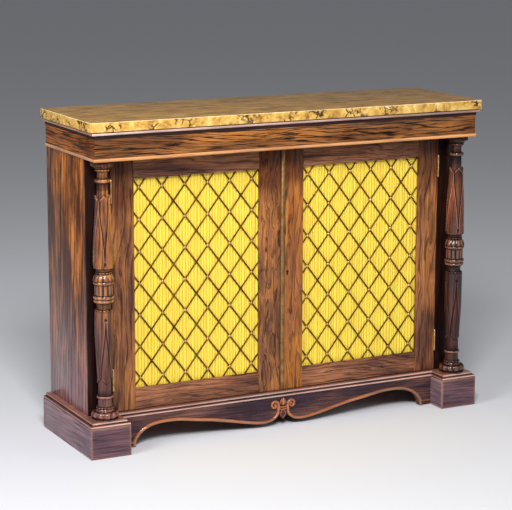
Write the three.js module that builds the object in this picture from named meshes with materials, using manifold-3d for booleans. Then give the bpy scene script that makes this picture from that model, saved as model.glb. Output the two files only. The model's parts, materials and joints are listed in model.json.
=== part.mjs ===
// Rosewood side cabinet with a marble top, turned and carved columns and two trellised doors.
// Millimetres, +Z up, front towards -Y. The origin is on the floor under the middle of the cabinet.
import * as THREE from "three";
import { mergeVertices } from "three/addons/utils/BufferGeometryUtils.js";
import Module from "manifold-3d";

const wasm = await Module();
wasm.setup();

// Overall sizes
const carcaseWidth = 1187;
const topDepth = 367;
const marbleUnderZ = 888.5;
const marbleThickness = 26.5;
const marbleArris = 1.5;
const marbleSideOverhang = 14;
const marbleFrontOverhang = 11;
const boardThickness = 18;
const glueGap = 0.2;
const runningGap = 0.3;
const cutOverrun = 2;

// Plinth, apron and moulded base board
const plinthHeight = 85;
const plinthProjection = 23.5;
const pedestalSideMargin = 22.7;
const pedestalFrontMargin = 6;
const pedestalUnderMarble = 6.9;
const plinthBackThickness = 18;
const plinthBackHeight = 70;
const baseBoardThickness = 15;
const baseReedInset = 0.8;
const baseUpperReedInset = 8;
const baseTopInset = 10.5;
const apronThickness = 18;
const apronSetback = 1.8;
const apronFootClearance = 3;
const apronBeadWidth = 10;
const apronBeadHeight = 4.5;
const voluteBeadWidth = 5.5;
const voluteRadius = 13;
const voluteEyeRadius = 3.2;
const voluteStartShare = 1.1;
const voluteTurns = 1.3;
const voluteSteps = 18;
const beadSteps = 34;
const voluteX = 27;
const voluteZ = 63;
const budHalfWidth = 8.5;
const budHalfHeight = 11.5;
const budHeight = 6;
const budZ = 72.5;
const tieHalfWidth = 13.5;
const tieRadius = 3;
const tieZ = 57;
const tiePitch = 7.5;
const leafHalfWidth = 9.4;
const leafTipZ = 19.5;
const footBeadZ = 13;

// Carcase
const stileWidth = 74.5;
const stileThickness = 18;
const backBoardThickness = 12;
const shelfZ = 440;
const shelfThickness = 18;
const shelfSetback = 12;
const bearerHeight = 24;
const bearerThickness = 14;

// Frieze, its bead and the cornice moulding
const friezeOverhang = 1.5;
const friezeHeight = 61.5;
const friezeBeadHeight = 9;
const friezeBeadProud = 2.8;
const corniceHeight = 18.5;
const corniceProud = 9.8;
const corniceLipHeight = 8;
const corniceTopShadow = 1.5;

// Columns
const columnRadius = 36;
const columnWallGap = 2;
const columnSegments = 24;
const lancetCount = 4;
const lancetRidge = 1.2;
const lancetGroove = 1.6;
const lancetClosedShare = 0.03;
const lancetOpenShare = 0.2;
const lancetGrooveShare = 0.62;
const fluteDepth = 2.6;
const leafTipDrop = 8;

// Doors
const doorThickness = 20;
const doorEdgeGap = 1;
const doorBottomClearance = 2.5;
const doorTopClearance = 3;
const meetingGap = 2.8;
const meetingLineX = -1;
const doorStileWidth = 66.3;
const doorRailHeight = 60;
const rebateWidth = 7;
const rebateDepth = 13.5;
const meetingStripWidth = 12.5;
const meetingStripProud = 4;

// Trellis and silk
const trellisColumns = 6;
const trellisRows = 7;
const trellisSideMargin = 19;
const trellisEndMargin = 25.5;
const trellisRodWidth = 4;
const trellisRodThickness = 1.5;
const rosetteRadius = 4.2;
const rosetteTopRadius = 2.4;
const rosetteHeight = 2;
const rosetteSides = 6;
const silkPleats = 42;
const silkPleatDepth = 4;
const silkThickness = 1.2;
const silkBackingThickness = 4;

// Hinges
const hingeLength = 60;
const hingeBarrelRadius = 2.5;
const hingePinRadius = 1.2;
const hingeFinialRadius = 2.4;
const hingeFinialHalfHeight = 3.4;
const hingeLeafThickness = 1.5;
const hingeLeafWidth = 16;
const hingeLeafGap = 0.4;
const hingeEndInset = 59;
const hingeSides = 12;

// Lock and its bolt, on the right door
const lockZ = 447;
const keyholeInset = 21.6;
const lockCaseWidth = 42;
const lockCaseHeight = 64;
const lockCaseDepth = 10;
const lockCaseBackInset = 0.5;
const lockBoltHeight = 16;
const lockBoltThickness = 5;
const lockBoltLength = 24;
const lockBoltTravel = 8;
const strikeDepth = 12;
const strikeClearance = 1;
const keyholeRadius = 2.6;
const keyholeSlotWidth = 2.6;
const keyholeDrop = 9;
const escutcheonWidth = 1.4;
const escutcheonDepth = 2.5;

// Bolts at the top and bottom of the left door
const boltInset = 33.2;
const boltPlateWidth = 18;
const boltPlateLength = 74;
const boltPlateThickness = 1.5;
const boltPlateEndInset = 16;
const boltRodSize = 6;
const boltRodLength = 84;
const boltTravel = 12;
const boltTipClearance = 2;
const boltHoleClearance = 1;
const boltBridgeLength = 9;
const boltBridgeWall = 2.2;
const boltKnobRadius = 3.5;
const boltKnobLength = 6;
const boltKnobSides = 10;

// Places that follow from the sizes above
const backY = topDepth / 2;
const plinthWidth = carcaseWidth + 2 * plinthProjection;
const friezeWidth = carcaseWidth + 2 * friezeOverhang;
const marbleWidth = friezeWidth + 2 * marbleSideOverhang;
const pedestalWidth = 2 * (columnRadius + pedestalSideMargin);
const baseTopZ = plinthHeight + baseBoardThickness;
const friezeTopZ = marbleUnderZ - corniceHeight;
const soffitZ = friezeTopZ - friezeHeight;
const carcaseBottomZ = baseTopZ + glueGap;
const carcaseTopZ = soffitZ - glueGap;
const friezeFaceY = marbleFrontOverhang - backY;
const pedestalFaceY = pedestalUnderMarble - backY;
const columnX = (plinthWidth - pedestalWidth) / 2;
const columnY = pedestalFaceY + pedestalFrontMargin + columnRadius;
const faceY = columnY + columnRadius + columnWallGap;
const apronFaceY = faceY - apronThickness;
const baseFrontY = apronFaceY - apronSetback;
const stileInnerX = carcaseWidth / 2 - stileWidth;
const doorBackY = faceY + doorThickness;
const doorBottomZ = baseTopZ + doorBottomClearance;
const doorTopZ = soffitZ - doorTopClearance;
const sightBottomZ = doorBottomZ + doorRailHeight;
const sightTopZ = doorTopZ - doorRailHeight;
const hingeAxisX = stileInnerX - doorEdgeGap / 2;
const hingeAxisY = faceY - hingeBarrelRadius - runningGap;
const hingeZs = [doorBottomZ + hingeEndInset, doorTopZ - hingeEndInset - hingeLength];
const sightInnerX = doorStileWidth + meetingGap - meetingLineX;
const keyholeX = meetingLineX + keyholeInset;
const lockCaseY0 = doorBackY - lockCaseDepth - lockCaseBackInset;
const lockBoltY = doorBackY - lockCaseBackInset - lockCaseDepth / 2;
const boltX = meetingLineX - meetingGap - boltInset;
const boltRodY = doorBackY + glueGap + boltPlateThickness + runningGap + boltRodSize / 2;
const boltHoleDepth = boltTravel - boltTipClearance + boltHoleClearance;

const finish = (color, roughness, metalness = 0) => () =>
  new THREE.MeshStandardMaterial({ color, roughness, metalness });
const marble = finish(0xd9b04a, 0.25);
const rosewood = finish(0x4a2418, 0.3);
const rosewoodMoulding = finish(0x6b3520, 0.25);
const pine = finish(0xb98d5a, 0.7);
const brass = finish(0xa88a4c, 0.35, 1);
const steel = finish(0x7d7a74, 0.4, 1);
const silk = finish(0xffdf3c, 0.55);

const cabinet = new THREE.Group();

function addPiece(name, geometry, makeMaterial) {
  const mesh = new THREE.Mesh(geometry, makeMaterial());
  mesh.name = name;
  cabinet.add(mesh);
}

// Turns the triangles round if they point inwards, as they do on a mirrored copy.
function outward(geometry) {
  const position = geometry.getAttribute("position");
  const index = geometry.getIndex();
  const a = new THREE.Vector3();
  const b = new THREE.Vector3();
  const c = new THREE.Vector3();
  let volume = 0;
  for (let i = 0; i < index.count; i += 3) {
    a.fromBufferAttribute(position, index.getX(i));
    b.fromBufferAttribute(position, index.getX(i + 1));
    c.fromBufferAttribute(position, index.getX(i + 2));
    volume += a.dot(b.cross(c));
  }
  if (volume < 0) {
    for (let i = 0; i < index.count; i += 3) {
      const second = index.getX(i + 1);
      index.setX(i + 1, index.getX(i + 2));
      index.setX(i + 2, second);
    }
  }
  return geometry;
}

function weld(geometry) {
  geometry.deleteAttribute("normal");
  geometry.deleteAttribute("uv");
  return outward(mergeVertices(geometry));
}

function toSolid(geometry) {
  const mesh = new wasm.Mesh({
    numProp: 3,
    vertProperties: new Float32Array(geometry.getAttribute("position").array),
    triVerts: new Uint32Array(geometry.getIndex().array),
  });
  return new wasm.Manifold(mesh);
}

function toGeometry(solid) {
  const mesh = solid.getMesh();
  const geometry = new THREE.BufferGeometry();
  geometry.setAttribute("position", new THREE.BufferAttribute(mesh.vertProperties, mesh.numProp));
  geometry.setIndex(new THREE.BufferAttribute(mesh.triVerts, 1));
  return geometry;
}

const joined = (geometries) => toGeometry(geometries.map(toSolid).reduce((sum, next) => sum.add(next)));
const cut = (geometry, cutters) =>
  toGeometry(cutters.map(toSolid).reduce((rest, cutter) => rest.subtract(cutter), toSolid(geometry)));

// Moves each point of a geometry to the place that a function gives for it.
function remap(geometry, place) {
  const position = geometry.getAttribute("position");
  for (let i = 0; i < position.count; i += 1) {
    position.setXYZ(i, ...place(position.getX(i), position.getY(i), position.getZ(i)));
  }
  return geometry;
}

function box(x0, x1, y0, y1, z0, z1) {
  const geometry = new THREE.BoxGeometry();
  remap(geometry, (x, y, z) => [x < 0 ? x0 : x1, y < 0 ? y0 : y1, z < 0 ? z0 : z1]);
  return weld(geometry);
}

// The same box on the left (side -1) or right (side 1), with x measured from the middle.
const sideBox = (side, x0, x1, ...rest) => box(side * x0, side * x1, ...rest);

function shapeOf(points) {
  return new THREE.Shape(points.map(([x, y]) => new THREE.Vector2(x, y)));
}

// A shape drawn in x and z, standing between two planes of y.
function slab(shape, y0, y1) {
  const geometry = new THREE.ExtrudeGeometry(shape, { depth: 1, bevelEnabled: false });
  remap(geometry, (x, z, t) => [x, t < 1 / 2 ? y0 : y1, z]);
  return weld(geometry);
}

// A shape drawn in x and y, standing between two heights.
function post(shape, z0, z1) {
  const geometry = new THREE.ExtrudeGeometry(shape, { depth: 1, bevelEnabled: false });
  remap(geometry, (x, y, t) => [x, y, t < 1 / 2 ? z0 : z1]);
  return weld(geometry);
}

function cylinder(radius, x, y, z0, z1, sides) {
  const geometry = new THREE.CylinderGeometry(radius, radius, 1, sides);
  remap(geometry, (cx, h, cy) => [x + cx, y + cy, h < 0 ? z0 : z1]);
  return weld(geometry);
}

// Triangles of the walls between stacked rings of equal count.
function walls(rings) {
  const count = rings[0].length;
  const triangles = [];
  for (let row = 0; row + 1 < rings.length; row += 1) {
    for (let i = 0; i < count; i += 1) {
      const a = row * count + i;
      const b = row * count + ((i + 1) % count);
      triangles.push(a, b, b + count, a, b + count, a + count);
    }
  }
  return triangles;
}

function ringGeometry(points, triangles) {
  const geometry = new THREE.BufferGeometry().setFromPoints(points);
  geometry.setIndex(triangles);
  return outward(geometry);
}

// Joins stacked rings, and fills both ends with a fan from the middle.
function loft(rings) {
  const count = rings[0].length;
  const points = rings.flat();
  const triangles = walls(rings);
  for (const row of [0, rings.length - 1]) {
    const middle = rings[row].reduce((sum, p) => sum.add(p), new THREE.Vector3()).divideScalar(count);
    const centre = points.push(middle) - 1;
    for (let i = 0; i < count; i += 1) {
      const a = row * count + i;
      const b = row * count + ((i + 1) % count);
      triangles.push(...(row === 0 ? [centre, b, a] : [centre, a, b]));
    }
  }
  return ringGeometry(points, triangles);
}

// Joins stacked outlines of any flat shape, with ends filled from the shape itself.
function stack(rings) {
  const count = rings[0].length;
  const triangles = walls(rings);
  for (const row of [0, rings.length - 1]) {
    const outline = rings[row].map((p) => new THREE.Vector2(p.x, p.y));
    for (const [a, b, c] of THREE.ShapeUtils.triangulateShape(outline, [])) {
      const face = [row * count + a, row * count + b, row * count + c];
      triangles.push(...(row === 0 ? face.reverse() : face));
    }
  }
  return ringGeometry(rings.flat(), triangles);
}

// A moulding strip. Its profile is drawn as [out, up] and it runs between two ends;
// a mitred end grows with the distance out, so that two strips meet at 45 degrees.
function strip(profile, from, to, mitreFrom, mitreTo, place) {
  const geometry = new THREE.ExtrudeGeometry(shapeOf(profile), { depth: 1, bevelEnabled: false });
  remap(geometry, (out, up, t) => {
    const along = t < 1 / 2 ? from - mitreFrom * out : to + mitreTo * out;
    return place(out, along, up);
  });
  return weld(geometry);
}

// The three strips that go round the front and sides of the cabinet.
function stripsRound(name, profile, makeMaterial) {
  const end = friezeWidth / 2 - glueGap;
  const onFront = (out, along, up) => [along, friezeFaceY - out, up];
  addPiece(`${name}_front`, strip(profile, -end, end, 1, 1, onFront), makeMaterial);
  for (const [side, word] of [[-1, "left"], [1, "right"]]) {
    const onSide = (out, along, up) => [side * (friezeWidth / 2 + out), along, up];
    const run = strip(profile, friezeFaceY + glueGap, backY, 1, 0, onSide);
    addPiece(`${name}_${word}`, run, makeMaterial);
  }
}

// Points of a rounded nose from one height to another, standing out from a plane.
function nose(out, proud, z0, z1, steps) {
  const points = [];
  for (let i = 0; i <= steps; i += 1) {
    const turn = Math.PI * (i / steps - 1 / 2);
    points.push([out + proud * Math.cos(turn), (z0 + z1) / 2 + ((z1 - z0) / 2) * Math.sin(turn)]);
  }
  return points;
}

// Marble top with its softened edges, on a pine board
function addTop() {
  const x = marbleWidth / 2;
  const z0 = marbleUnderZ;
  const z1 = marbleUnderZ + marbleThickness;
  const levels = [
    [z0, marbleArris],
    [z0 + marbleArris, 0],
    [z1 - marbleArris, 0],
    [z1, marbleArris],
  ];
  const rings = levels.map(([z, inset]) => [
    new THREE.Vector3(-x + inset, -backY + inset, z),
    new THREE.Vector3(x - inset, -backY + inset, z),
    new THREE.Vector3(x - inset, backY, z),
    new THREE.Vector3(-x + inset, backY, z),
  ]);
  addPiece("marble_top", loft(rings), marble);
  const edge = friezeWidth / 2 - glueGap;
  const heights = [friezeTopZ + glueGap, marbleUnderZ - glueGap];
  addPiece("sub_top", box(-edge, edge, friezeFaceY + glueGap, backY, ...heights), pine);
}

function addCornice() {
  const z0 = friezeTopZ + glueGap;
  const z1 = marbleUnderZ - corniceTopShadow;
  const lipZ = z1 - corniceLipHeight;
  const cavettoShares = [[0.1, 0], [0.12, 0.4], [0.22, 0.75], [0.45, 1]];
  const cavetto = cavettoShares.map(([out, up]) => [out * corniceProud, z0 + up * (lipZ - z0)]);
  const lipOut = cavetto[cavetto.length - 1][0];
  const lip = nose(lipOut, corniceProud - lipOut, lipZ + glueGap, z1, 5);
  stripsRound("cornice", [[0, z0], ...cavetto, ...lip, [0, z1]], rosewoodMoulding);
}

function addFrieze() {
  const inner = -boardThickness;
  const board = [[inner, soffitZ], [0, soffitZ], [0, friezeTopZ], [inner, friezeTopZ]];
  stripsRound("frieze", board, rosewood);
  const bead = nose(glueGap, friezeBeadProud, soffitZ, soffitZ + friezeBeadHeight, 6);
  stripsRound("frieze_bead", bead, rosewoodMoulding);
  const x = friezeWidth / 2 - boardThickness - glueGap;
  const backEdge = backY - backBoardThickness - glueGap;
  const frontEdge = friezeFaceY + boardThickness + glueGap;
  const soffit = box(-x, x, frontEdge, backEdge, soffitZ, soffitZ + boardThickness);
  const hole = boltHole(soffitZ - cutOverrun, soffitZ + boltHoleDepth);
  addPiece("soffit_board", cut(soffit, [hole]), rosewood);
}

// Square hole that a bolt of the left door shoots into.
function boltHole(z0, z1) {
  const half = boltRodSize / 2 + boltHoleClearance;
  return box(boltX - half, boltX + half, boltRodY - half, boltRodY + half, z0, z1);
}

function addCarcase() {
  const outer = carcaseWidth / 2;
  const inner = outer - boardThickness;
  const sideFrontY = faceY + stileThickness + glueGap;
  const backBoardY = backY - backBoardThickness;
  const shelfFrontY = doorBackY + shelfSetback;
  for (const [side, word] of [[-1, "left"], [1, "right"]]) {
    const heights = [carcaseBottomZ, carcaseTopZ];
    addPiece(`side_${word}`, sideBox(side, inner, outer, sideFrontY, backY, ...heights), rosewood);
    const stile = sideBox(side, stileInnerX, outer, faceY, faceY + stileThickness, ...heights);
    addPiece(`stile_${word}`, cut(stile, hingeZs.map((z) => leafMortise(side, 1, z))), rosewood);
    const bearerX = inner - glueGap;
    const bearerTop = shelfZ - glueGap;
    const bearer = sideBox(side, bearerX - bearerThickness, bearerX, shelfFrontY, backBoardY - glueGap,
      bearerTop - bearerHeight, bearerTop);
    addPiece(`shelf_bearer_${word}`, bearer, pine);
  }
  const shelfX = inner - glueGap;
  const shelf = box(-shelfX, shelfX, shelfFrontY, backBoardY - glueGap, shelfZ, shelfZ + shelfThickness);
  addPiece("shelf", shelf, pine);
  for (const [side, word] of [[-1, "left"], [1, "right"]]) {
    const board = sideBox(side, glueGap / 2, shelfX, backBoardY, backY, carcaseBottomZ, friezeTopZ);
    addPiece(`back_board_${word}`, board, pine);
  }
}

// Board with two reeds on its front and side edges, which follows the pedestals and the apron
function addBase() {
  const z0 = plinthHeight + glueGap;
  const z1 = baseTopZ;
  const middleZ = (z0 + z1) / 2;
  const reedGap = baseUpperReedInset / 2;
  const lower = nose(-reedGap, reedGap - baseReedInset, z0, middleZ - glueGap, 5);
  const upper = nose(-baseTopInset, baseTopInset - baseUpperReedInset, middleZ, z1 - glueGap, 4);
  const profile = [...lower, ...upper, [-baseTopInset, z1]];
  const x = plinthWidth / 2;
  const innerX = x - pedestalWidth;
  const rings = profile.map(([out, z]) => [
    [-x - out, backY], [-x - out, pedestalFaceY - out], [-innerX + out, pedestalFaceY - out],
    [-innerX + out, baseFrontY - out], [innerX - out, baseFrontY - out], [innerX - out, pedestalFaceY - out],
    [x + out, pedestalFaceY - out], [x + out, backY],
  ].map(([px, py]) => new THREE.Vector3(px, py, z)));
  const hole = boltHole(baseTopZ - boltHoleDepth, baseTopZ + cutOverrun);
  addPiece("base_board", cut(stack(rings), [hole]), rosewoodMoulding);
  const innerSide = carcaseWidth / 2;
  for (const [side, word] of [[-1, "left"], [1, "right"]]) {
    const block = sideBox(side, innerX, x, pedestalFaceY, faceY - glueGap, 0, plinthHeight);
    addPiece(`pedestal_${word}`, block, rosewood);
    addPiece(`plinth_side_${word}`, sideBox(side, innerSide, x, faceY, backY, 0, plinthHeight), rosewood);
  }
  const backX = innerSide - glueGap;
  const railY = backY - plinthBackThickness;
  const rail = box(-backX, backX, railY, backY, plinthHeight - plinthBackHeight, plinthHeight);
  addPiece("plinth_back", rail, pine);
}

// Apron: a board cut in two long arches, with a carved bead along the edge that ends in volutes
const apronHalfWidth = plinthWidth / 2 - pedestalWidth - glueGap;
const apronEdgeShares = [
  [0.921, 0.035], [0.918, 0.2], [0.9, 0.355], [0.869, 0.512], [0.821, 0.63], [0.77, 0.682], [0.71, 0.69],
  [0.65, 0.67], [0.56, 0.585], [0.44, 0.478], [0.33, 0.348], [0.24, 0.235], [0.165, 0.158], [0.11, 0.142],
  [0.07, 0.19], [0.04, 0.3], [0.024, 0.43],
];

function apronEdge() {
  const points = apronEdgeShares.map(([x, z]) => new THREE.Vector2(x * apronHalfWidth, z * plinthHeight));
  return new THREE.SplineCurve(points);
}

// The bead's middle line on the right half: along the edge and then round the volute.
function beadLine() {
  const edge = apronEdge();
  const line = [];
  for (let i = 0; i <= beadSteps; i += 1) {
    const point = edge.getPointAt(i / beadSteps);
    const tangent = edge.getTangentAt(i / beadSteps);
    const inward = new THREE.Vector2(tangent.y, -tangent.x);
    line.push(point.addScaledVector(inward, apronBeadWidth / 2));
  }
  for (let i = 1; i <= voluteSteps; i += 1) {
    const t = i / voluteSteps;
    const angle = Math.PI * (voluteStartShare - 2 * voluteTurns * t);
    const radius = voluteRadius + (voluteEyeRadius - voluteRadius) * t;
    line.push(new THREE.Vector2(voluteX + radius * Math.cos(angle), voluteZ + radius * Math.sin(angle)));
  }
  return line;
}

// Sweeps the bead's six-sided section along a line in the plane of the apron.
function beadSweep(line, side, startWidth, endWidth) {
  const sides = 6;
  return loft(line.map((point, i) => {
    const before = line[Math.max(i - 1, 0)];
    const after = line[Math.min(i + 1, line.length - 1)];
    const across = new THREE.Vector2(-(after.y - before.y), after.x - before.x).normalize();
    const share = i / (line.length - 1);
    const width = startWidth + (endWidth - startWidth) * share ** 3;
    const height = (apronBeadHeight * width) / apronBeadWidth;
    return Array.from({ length: sides }, (_, k) => {
      const angle = (2 * Math.PI * k) / sides;
      const reach = (Math.cos(angle) * width) / 2;
      return new THREE.Vector3(side * (point.x + across.x * reach), apronFaceY - height * Math.sin(angle),
        point.y + across.y * reach);
    });
  }));
}

function ellipsoid(x, y, z, rx, ry, rz) {
  const geometry = new THREE.SphereGeometry(1, 8, 6);
  remap(geometry, (a, b, c) => [x + a * rx, y + c * ry, z + b * rz]);
  return weld(geometry);
}

function addApron() {
  const edge = apronEdge().getSpacedPoints(26).map((p) => [p.x, p.y]);
  const leafWideZ = (leafTipZ + tieZ - tiePitch) / 2;
  const leaf = [leafHalfWidth, leafWideZ];
  const half = [[apronHalfWidth, plinthHeight], [apronHalfWidth, apronFootClearance], ...edge, leaf];
  const mirrored = [...half].reverse().map(([x, z]) => [-x, z]);
  const outline = [...half, [0, leafTipZ], ...mirrored];
  const pieces = [slab(shapeOf(outline), apronFaceY, apronFaceY + apronThickness)];
  const line = beadLine();
  const footX = apronEdgeShares[0][0] * apronHalfWidth;
  const footLine = [new THREE.Vector2(apronHalfWidth, footBeadZ), new THREE.Vector2(footX, footBeadZ)];
  for (const side of [-1, 1]) {
    pieces.push(beadSweep(line, side, apronBeadWidth, voluteBeadWidth));
    pieces.push(beadSweep(footLine, side, voluteBeadWidth, voluteBeadWidth));
    const eyeSize = [voluteEyeRadius, apronBeadHeight, voluteEyeRadius];
    pieces.push(ellipsoid(side * voluteX, apronFaceY, voluteZ, ...eyeSize));
  }
  pieces.push(ellipsoid(0, apronFaceY, budZ, budHalfWidth, budHeight, budHalfHeight));
  for (const z of [tieZ, tieZ - tiePitch]) {
    pieces.push(ellipsoid(0, apronFaceY, z, tieHalfWidth, apronBeadHeight, tieRadius));
  }
  addPiece("apron", joined(pieces), rosewoodMoulding);
}

// Turned column. Each member is [height share, radius share, kind], from the base up.
// Kinds: round, flute, and the shafts, whose third value is how far the lancet has opened.
const columnBottomZ = baseTopZ + glueGap;
const columnTopZ = soffitZ - glueGap;
const turnedBaseShares = [
  [0, 1], [0.006, 1], [0.008, 0.9], [0.012, 0.95], [0.018, 0.98], [0.026, 0.94], [0.033, 0.77],
  [0.035, 0.68], [0.041, 0.67], [0.044, 0.54], [0.079, 0.53], [0.083, 0.61], [0.09, 0.61], [0.094, 0.52],
];
const lowerShaftShares = [
  [0.155, 0.55, 1], [0.2, 0.59, 0.86], [0.27, 0.64, 0.6], [0.34, 0.68, 0.34], [0.39, 0.7, 0.12],
  [0.405, 0.705, 0.1],
];
const collarShares = [
  [0.419, 0.72], [0.42, 0.68], [0.425, 0.7], [0.431, 0.67], [0.434, 0.57], [0.446, 0.54], [0.457, 0.6],
  [0.462, 0.78], [0.47, 0.77], [0.473, 0.79], [0.483, 0.8], [0.485, 0.66],
];
const fluteShares = [[0.487, 0.65], [0.524, 0.65]];
const domeShares = [
  [0.526, 0.66], [0.528, 0.77], [0.538, 0.77], [0.541, 0.79], [0.549, 0.79], [0.56, 0.71], [0.568, 0.66],
  [0.572, 0.66], [0.576, 0.61], [0.586, 0.63], [0.589, 0.73],
];
const upperShaftShares = [
  [0.594, 0.73, 0.1], [0.605, 0.72, 0.12], [0.65, 0.69, 0.34], [0.72, 0.64, 0.6], [0.8, 0.58, 0.86],
  [0.858, 0.53, 1],
];
const turnedTopShares = [
  [0.911, 0.39], [0.918, 0.57], [0.931, 0.57], [0.935, 0.4], [0.954, 0.37], [0.963, 0.56], [0.97, 0.59],
  [0.978, 0.86], [0.982, 0.88], [1, 0.88],
];

// Angles round a quarter of the column, and how the carving moves the radius there.
function ring(height, radiusShare, side, kind, open, tipRise) {
  const points = [];
  const quarter = columnSegments / lancetCount;
  for (let i = 0; i < columnSegments; i += 1) {
    const slot = (i % quarter) - quarter / 2;
    const centre = Math.floor(i / quarter) * ((2 * Math.PI) / lancetCount);
    const even = (slot * Math.PI * 2) / columnSegments;
    const ridge = Math.PI * (lancetClosedShare + (lancetOpenShare - lancetClosedShare) * open);
    const lancetAngles = [0, ridge * lancetGrooveShare, ridge, Math.PI / lancetCount];
    const lancetSteps = [0, -lancetGroove, lancetRidge, 0];
    const step = Math.abs(slot);
    const carved = kind === "shaft";
    const angle = carved ? Math.sign(slot) * lancetAngles[step] : even;
    let radius = radiusShare * columnRadius;
    if (carved) radius += lancetSteps[step];
    if (kind === "flute" && i % 2 === 0) radius -= fluteDepth;
    const rise = tipRise * (1 - (2 * step) / quarter);
    const turn = centre + angle - Math.PI / 2;
    const z = columnBottomZ + height * (columnTopZ - columnBottomZ) + rise;
    const x = side * columnX + radius * Math.cos(turn);
    points.push(new THREE.Vector3(x, columnY + radius * Math.sin(turn), z));
  }
  return points;
}

function addColumn(side, word) {
  const rings = [];
  const add = (shares, kind) => shares.forEach(([height, radius, open]) => {
    rings.push(ring(height, radius, side, kind, open ?? 0, 0));
  });
  const [lowerTip] = lowerShaftShares;
  const upperTip = upperShaftShares[upperShaftShares.length - 1];
  add(turnedBaseShares, "round");
  rings.push(ring(lowerTip[0], turnedBaseShares.at(-1)[1], side, "round", 0, -leafTipDrop));
  rings.push(ring(lowerTip[0], lowerTip[1], side, "shaft", 1, -leafTipDrop));
  add(lowerShaftShares.slice(1), "shaft");
  add(collarShares, "round");
  add(fluteShares, "flute");
  add(domeShares, "round");
  add(upperShaftShares.slice(0, -1), "shaft");
  rings.push(ring(upperTip[0], upperTip[1], side, "shaft", 1, leafTipDrop));
  rings.push(ring(upperTip[0], turnedTopShares[0][1], side, "round", 0, leafTipDrop));
  add(turnedTopShares, "round");
  addPiece(`column_${word}`, loft(rings), rosewoodMoulding);
}

// Doors. A door runs from its hinge edge to its meeting edge; x is measured from the middle
// of the cabinet and grows towards the door's own side.
function doorEdges(side) {
  const hingeX = stileInnerX - doorEdgeGap;
  const meetingX = side > 0 ? meetingLineX : -(meetingLineX - meetingGap);
  return { hingeX, meetingX, sightOuter: hingeX - doorStileWidth, sightInner: sightInnerX };
}

// Shallow housing for a hinge leaf, cut in the cabinet's stile (way 1) or the door's (way -1).
function leafMortise(side, way, z) {
  const edgeX = hingeAxisX + (way * doorEdgeGap) / 2;
  const deepX = hingeAxisX + way * (hingeLeafGap / 2 + hingeLeafThickness + glueGap);
  return sideBox(side, edgeX - way * cutOverrun, deepX, faceY - cutOverrun, faceY + hingeLeafWidth + glueGap,
    z - glueGap, z + hingeLength + glueGap);
}

// Butt hinge: the cabinet's leaf holds the pin and the outer knuckles, the door's the middle one.
function addHinge(side, word, z, place) {
  const knuckle = hingeLength / 3;
  const x = side * hingeAxisX;
  const leaf = (way) => {
    const near = hingeAxisX + (way * hingeLeafGap) / 2;
    const far = near + way * hingeLeafThickness;
    return (y0, y1, z0, z1) => sideBox(side, near, far, y0, y1, z0, z1);
  };
  const plateY = faceY + glueGap / 2;
  const fixed = leaf(1);
  const moving = leaf(-1);
  const z1 = z + hingeLength;
  const cabinetLeaf = [fixed(plateY, faceY + hingeLeafWidth, z, z1)];
  for (const low of [z, z1 - knuckle + runningGap]) {
    const high = low + knuckle - runningGap;
    cabinetLeaf.push(fixed(hingeAxisY, plateY + glueGap, low, high));
    cabinetLeaf.push(cylinder(hingeBarrelRadius, x, hingeAxisY, low, high, hingeSides));
  }
  cabinetLeaf.push(cylinder(hingePinRadius, x, hingeAxisY, z + glueGap, z1 - glueGap, hingeSides));
  const finialSize = [hingeFinialRadius, hingeFinialRadius, hingeFinialHalfHeight];
  for (const endZ of [z, z1]) {
    cabinetLeaf.push(ellipsoid(x, hingeAxisY, endZ, ...finialSize));
  }
  addPiece(`cabinet_hinge_${word}_${place}`, joined(cabinetLeaf), brass);
  const low = z + knuckle;
  const high = z1 - knuckle;
  const doorLeaf = joined([
    moving(plateY, faceY + hingeLeafWidth, z, z1),
    moving(hingeAxisY, plateY + glueGap, low, high),
    cylinder(hingeBarrelRadius, x, hingeAxisY, low, high, hingeSides),
  ]);
  const boreEnds = [low - cutOverrun, high + cutOverrun];
  const bore = cylinder(hingePinRadius + runningGap, x, hingeAxisY, ...boreEnds, hingeSides);
  addPiece(`door_hinge_${word}_${place}`, cut(doorLeaf, [bore]), brass);
}

function keyholeShape(grow) {
  const radius = keyholeRadius + grow;
  const half = keyholeSlotWidth / 2 + grow;
  const start = Math.asin(half / radius) - Math.PI / 2;
  const shape = new THREE.Shape();
  shape.absarc(keyholeX, lockZ, radius, start, start + 2 * (Math.PI - (start + Math.PI / 2)), false);
  shape.lineTo(keyholeX - half, lockZ - keyholeDrop - grow);
  shape.lineTo(keyholeX + half, lockZ - keyholeDrop - grow);
  return shape;
}

// Lock with its bolt, let into the back of the right door's meeting stile
function addLock() {
  const x0 = meetingLineX + glueGap;
  const x1 = meetingLineX + lockCaseWidth;
  const z0 = lockZ - lockCaseHeight / 2;
  const z1 = lockZ + lockCaseHeight / 2;
  const body = box(x0, x1, lockCaseY0 + glueGap, doorBackY - lockCaseBackInset, z0, z1);
  const channelY = lockBoltThickness / 2 + runningGap;
  const channelZ = lockBoltHeight / 2 + runningGap;
  const channelEnd = meetingLineX + lockBoltLength + runningGap;
  const channel = box(x0 - cutOverrun, channelEnd, lockBoltY - channelY, lockBoltY + channelY,
    lockZ - channelZ, lockZ + channelZ);
  addPiece("lock_case", cut(body, [channel]), steel);
  const bolt = box(x0, channelEnd - runningGap, lockBoltY - lockBoltThickness / 2,
    lockBoltY + lockBoltThickness / 2, lockZ - lockBoltHeight / 2, lockZ + lockBoltHeight / 2);
  addPiece("lock_bolt", bolt, brass);
  const plate = keyholeShape(escutcheonWidth);
  plate.holes.push(new THREE.Path(keyholeShape(0).getPoints(5)));
  addPiece("keyhole_escutcheon", slab(plate, faceY, faceY + escutcheonDepth), brass);
}

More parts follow.
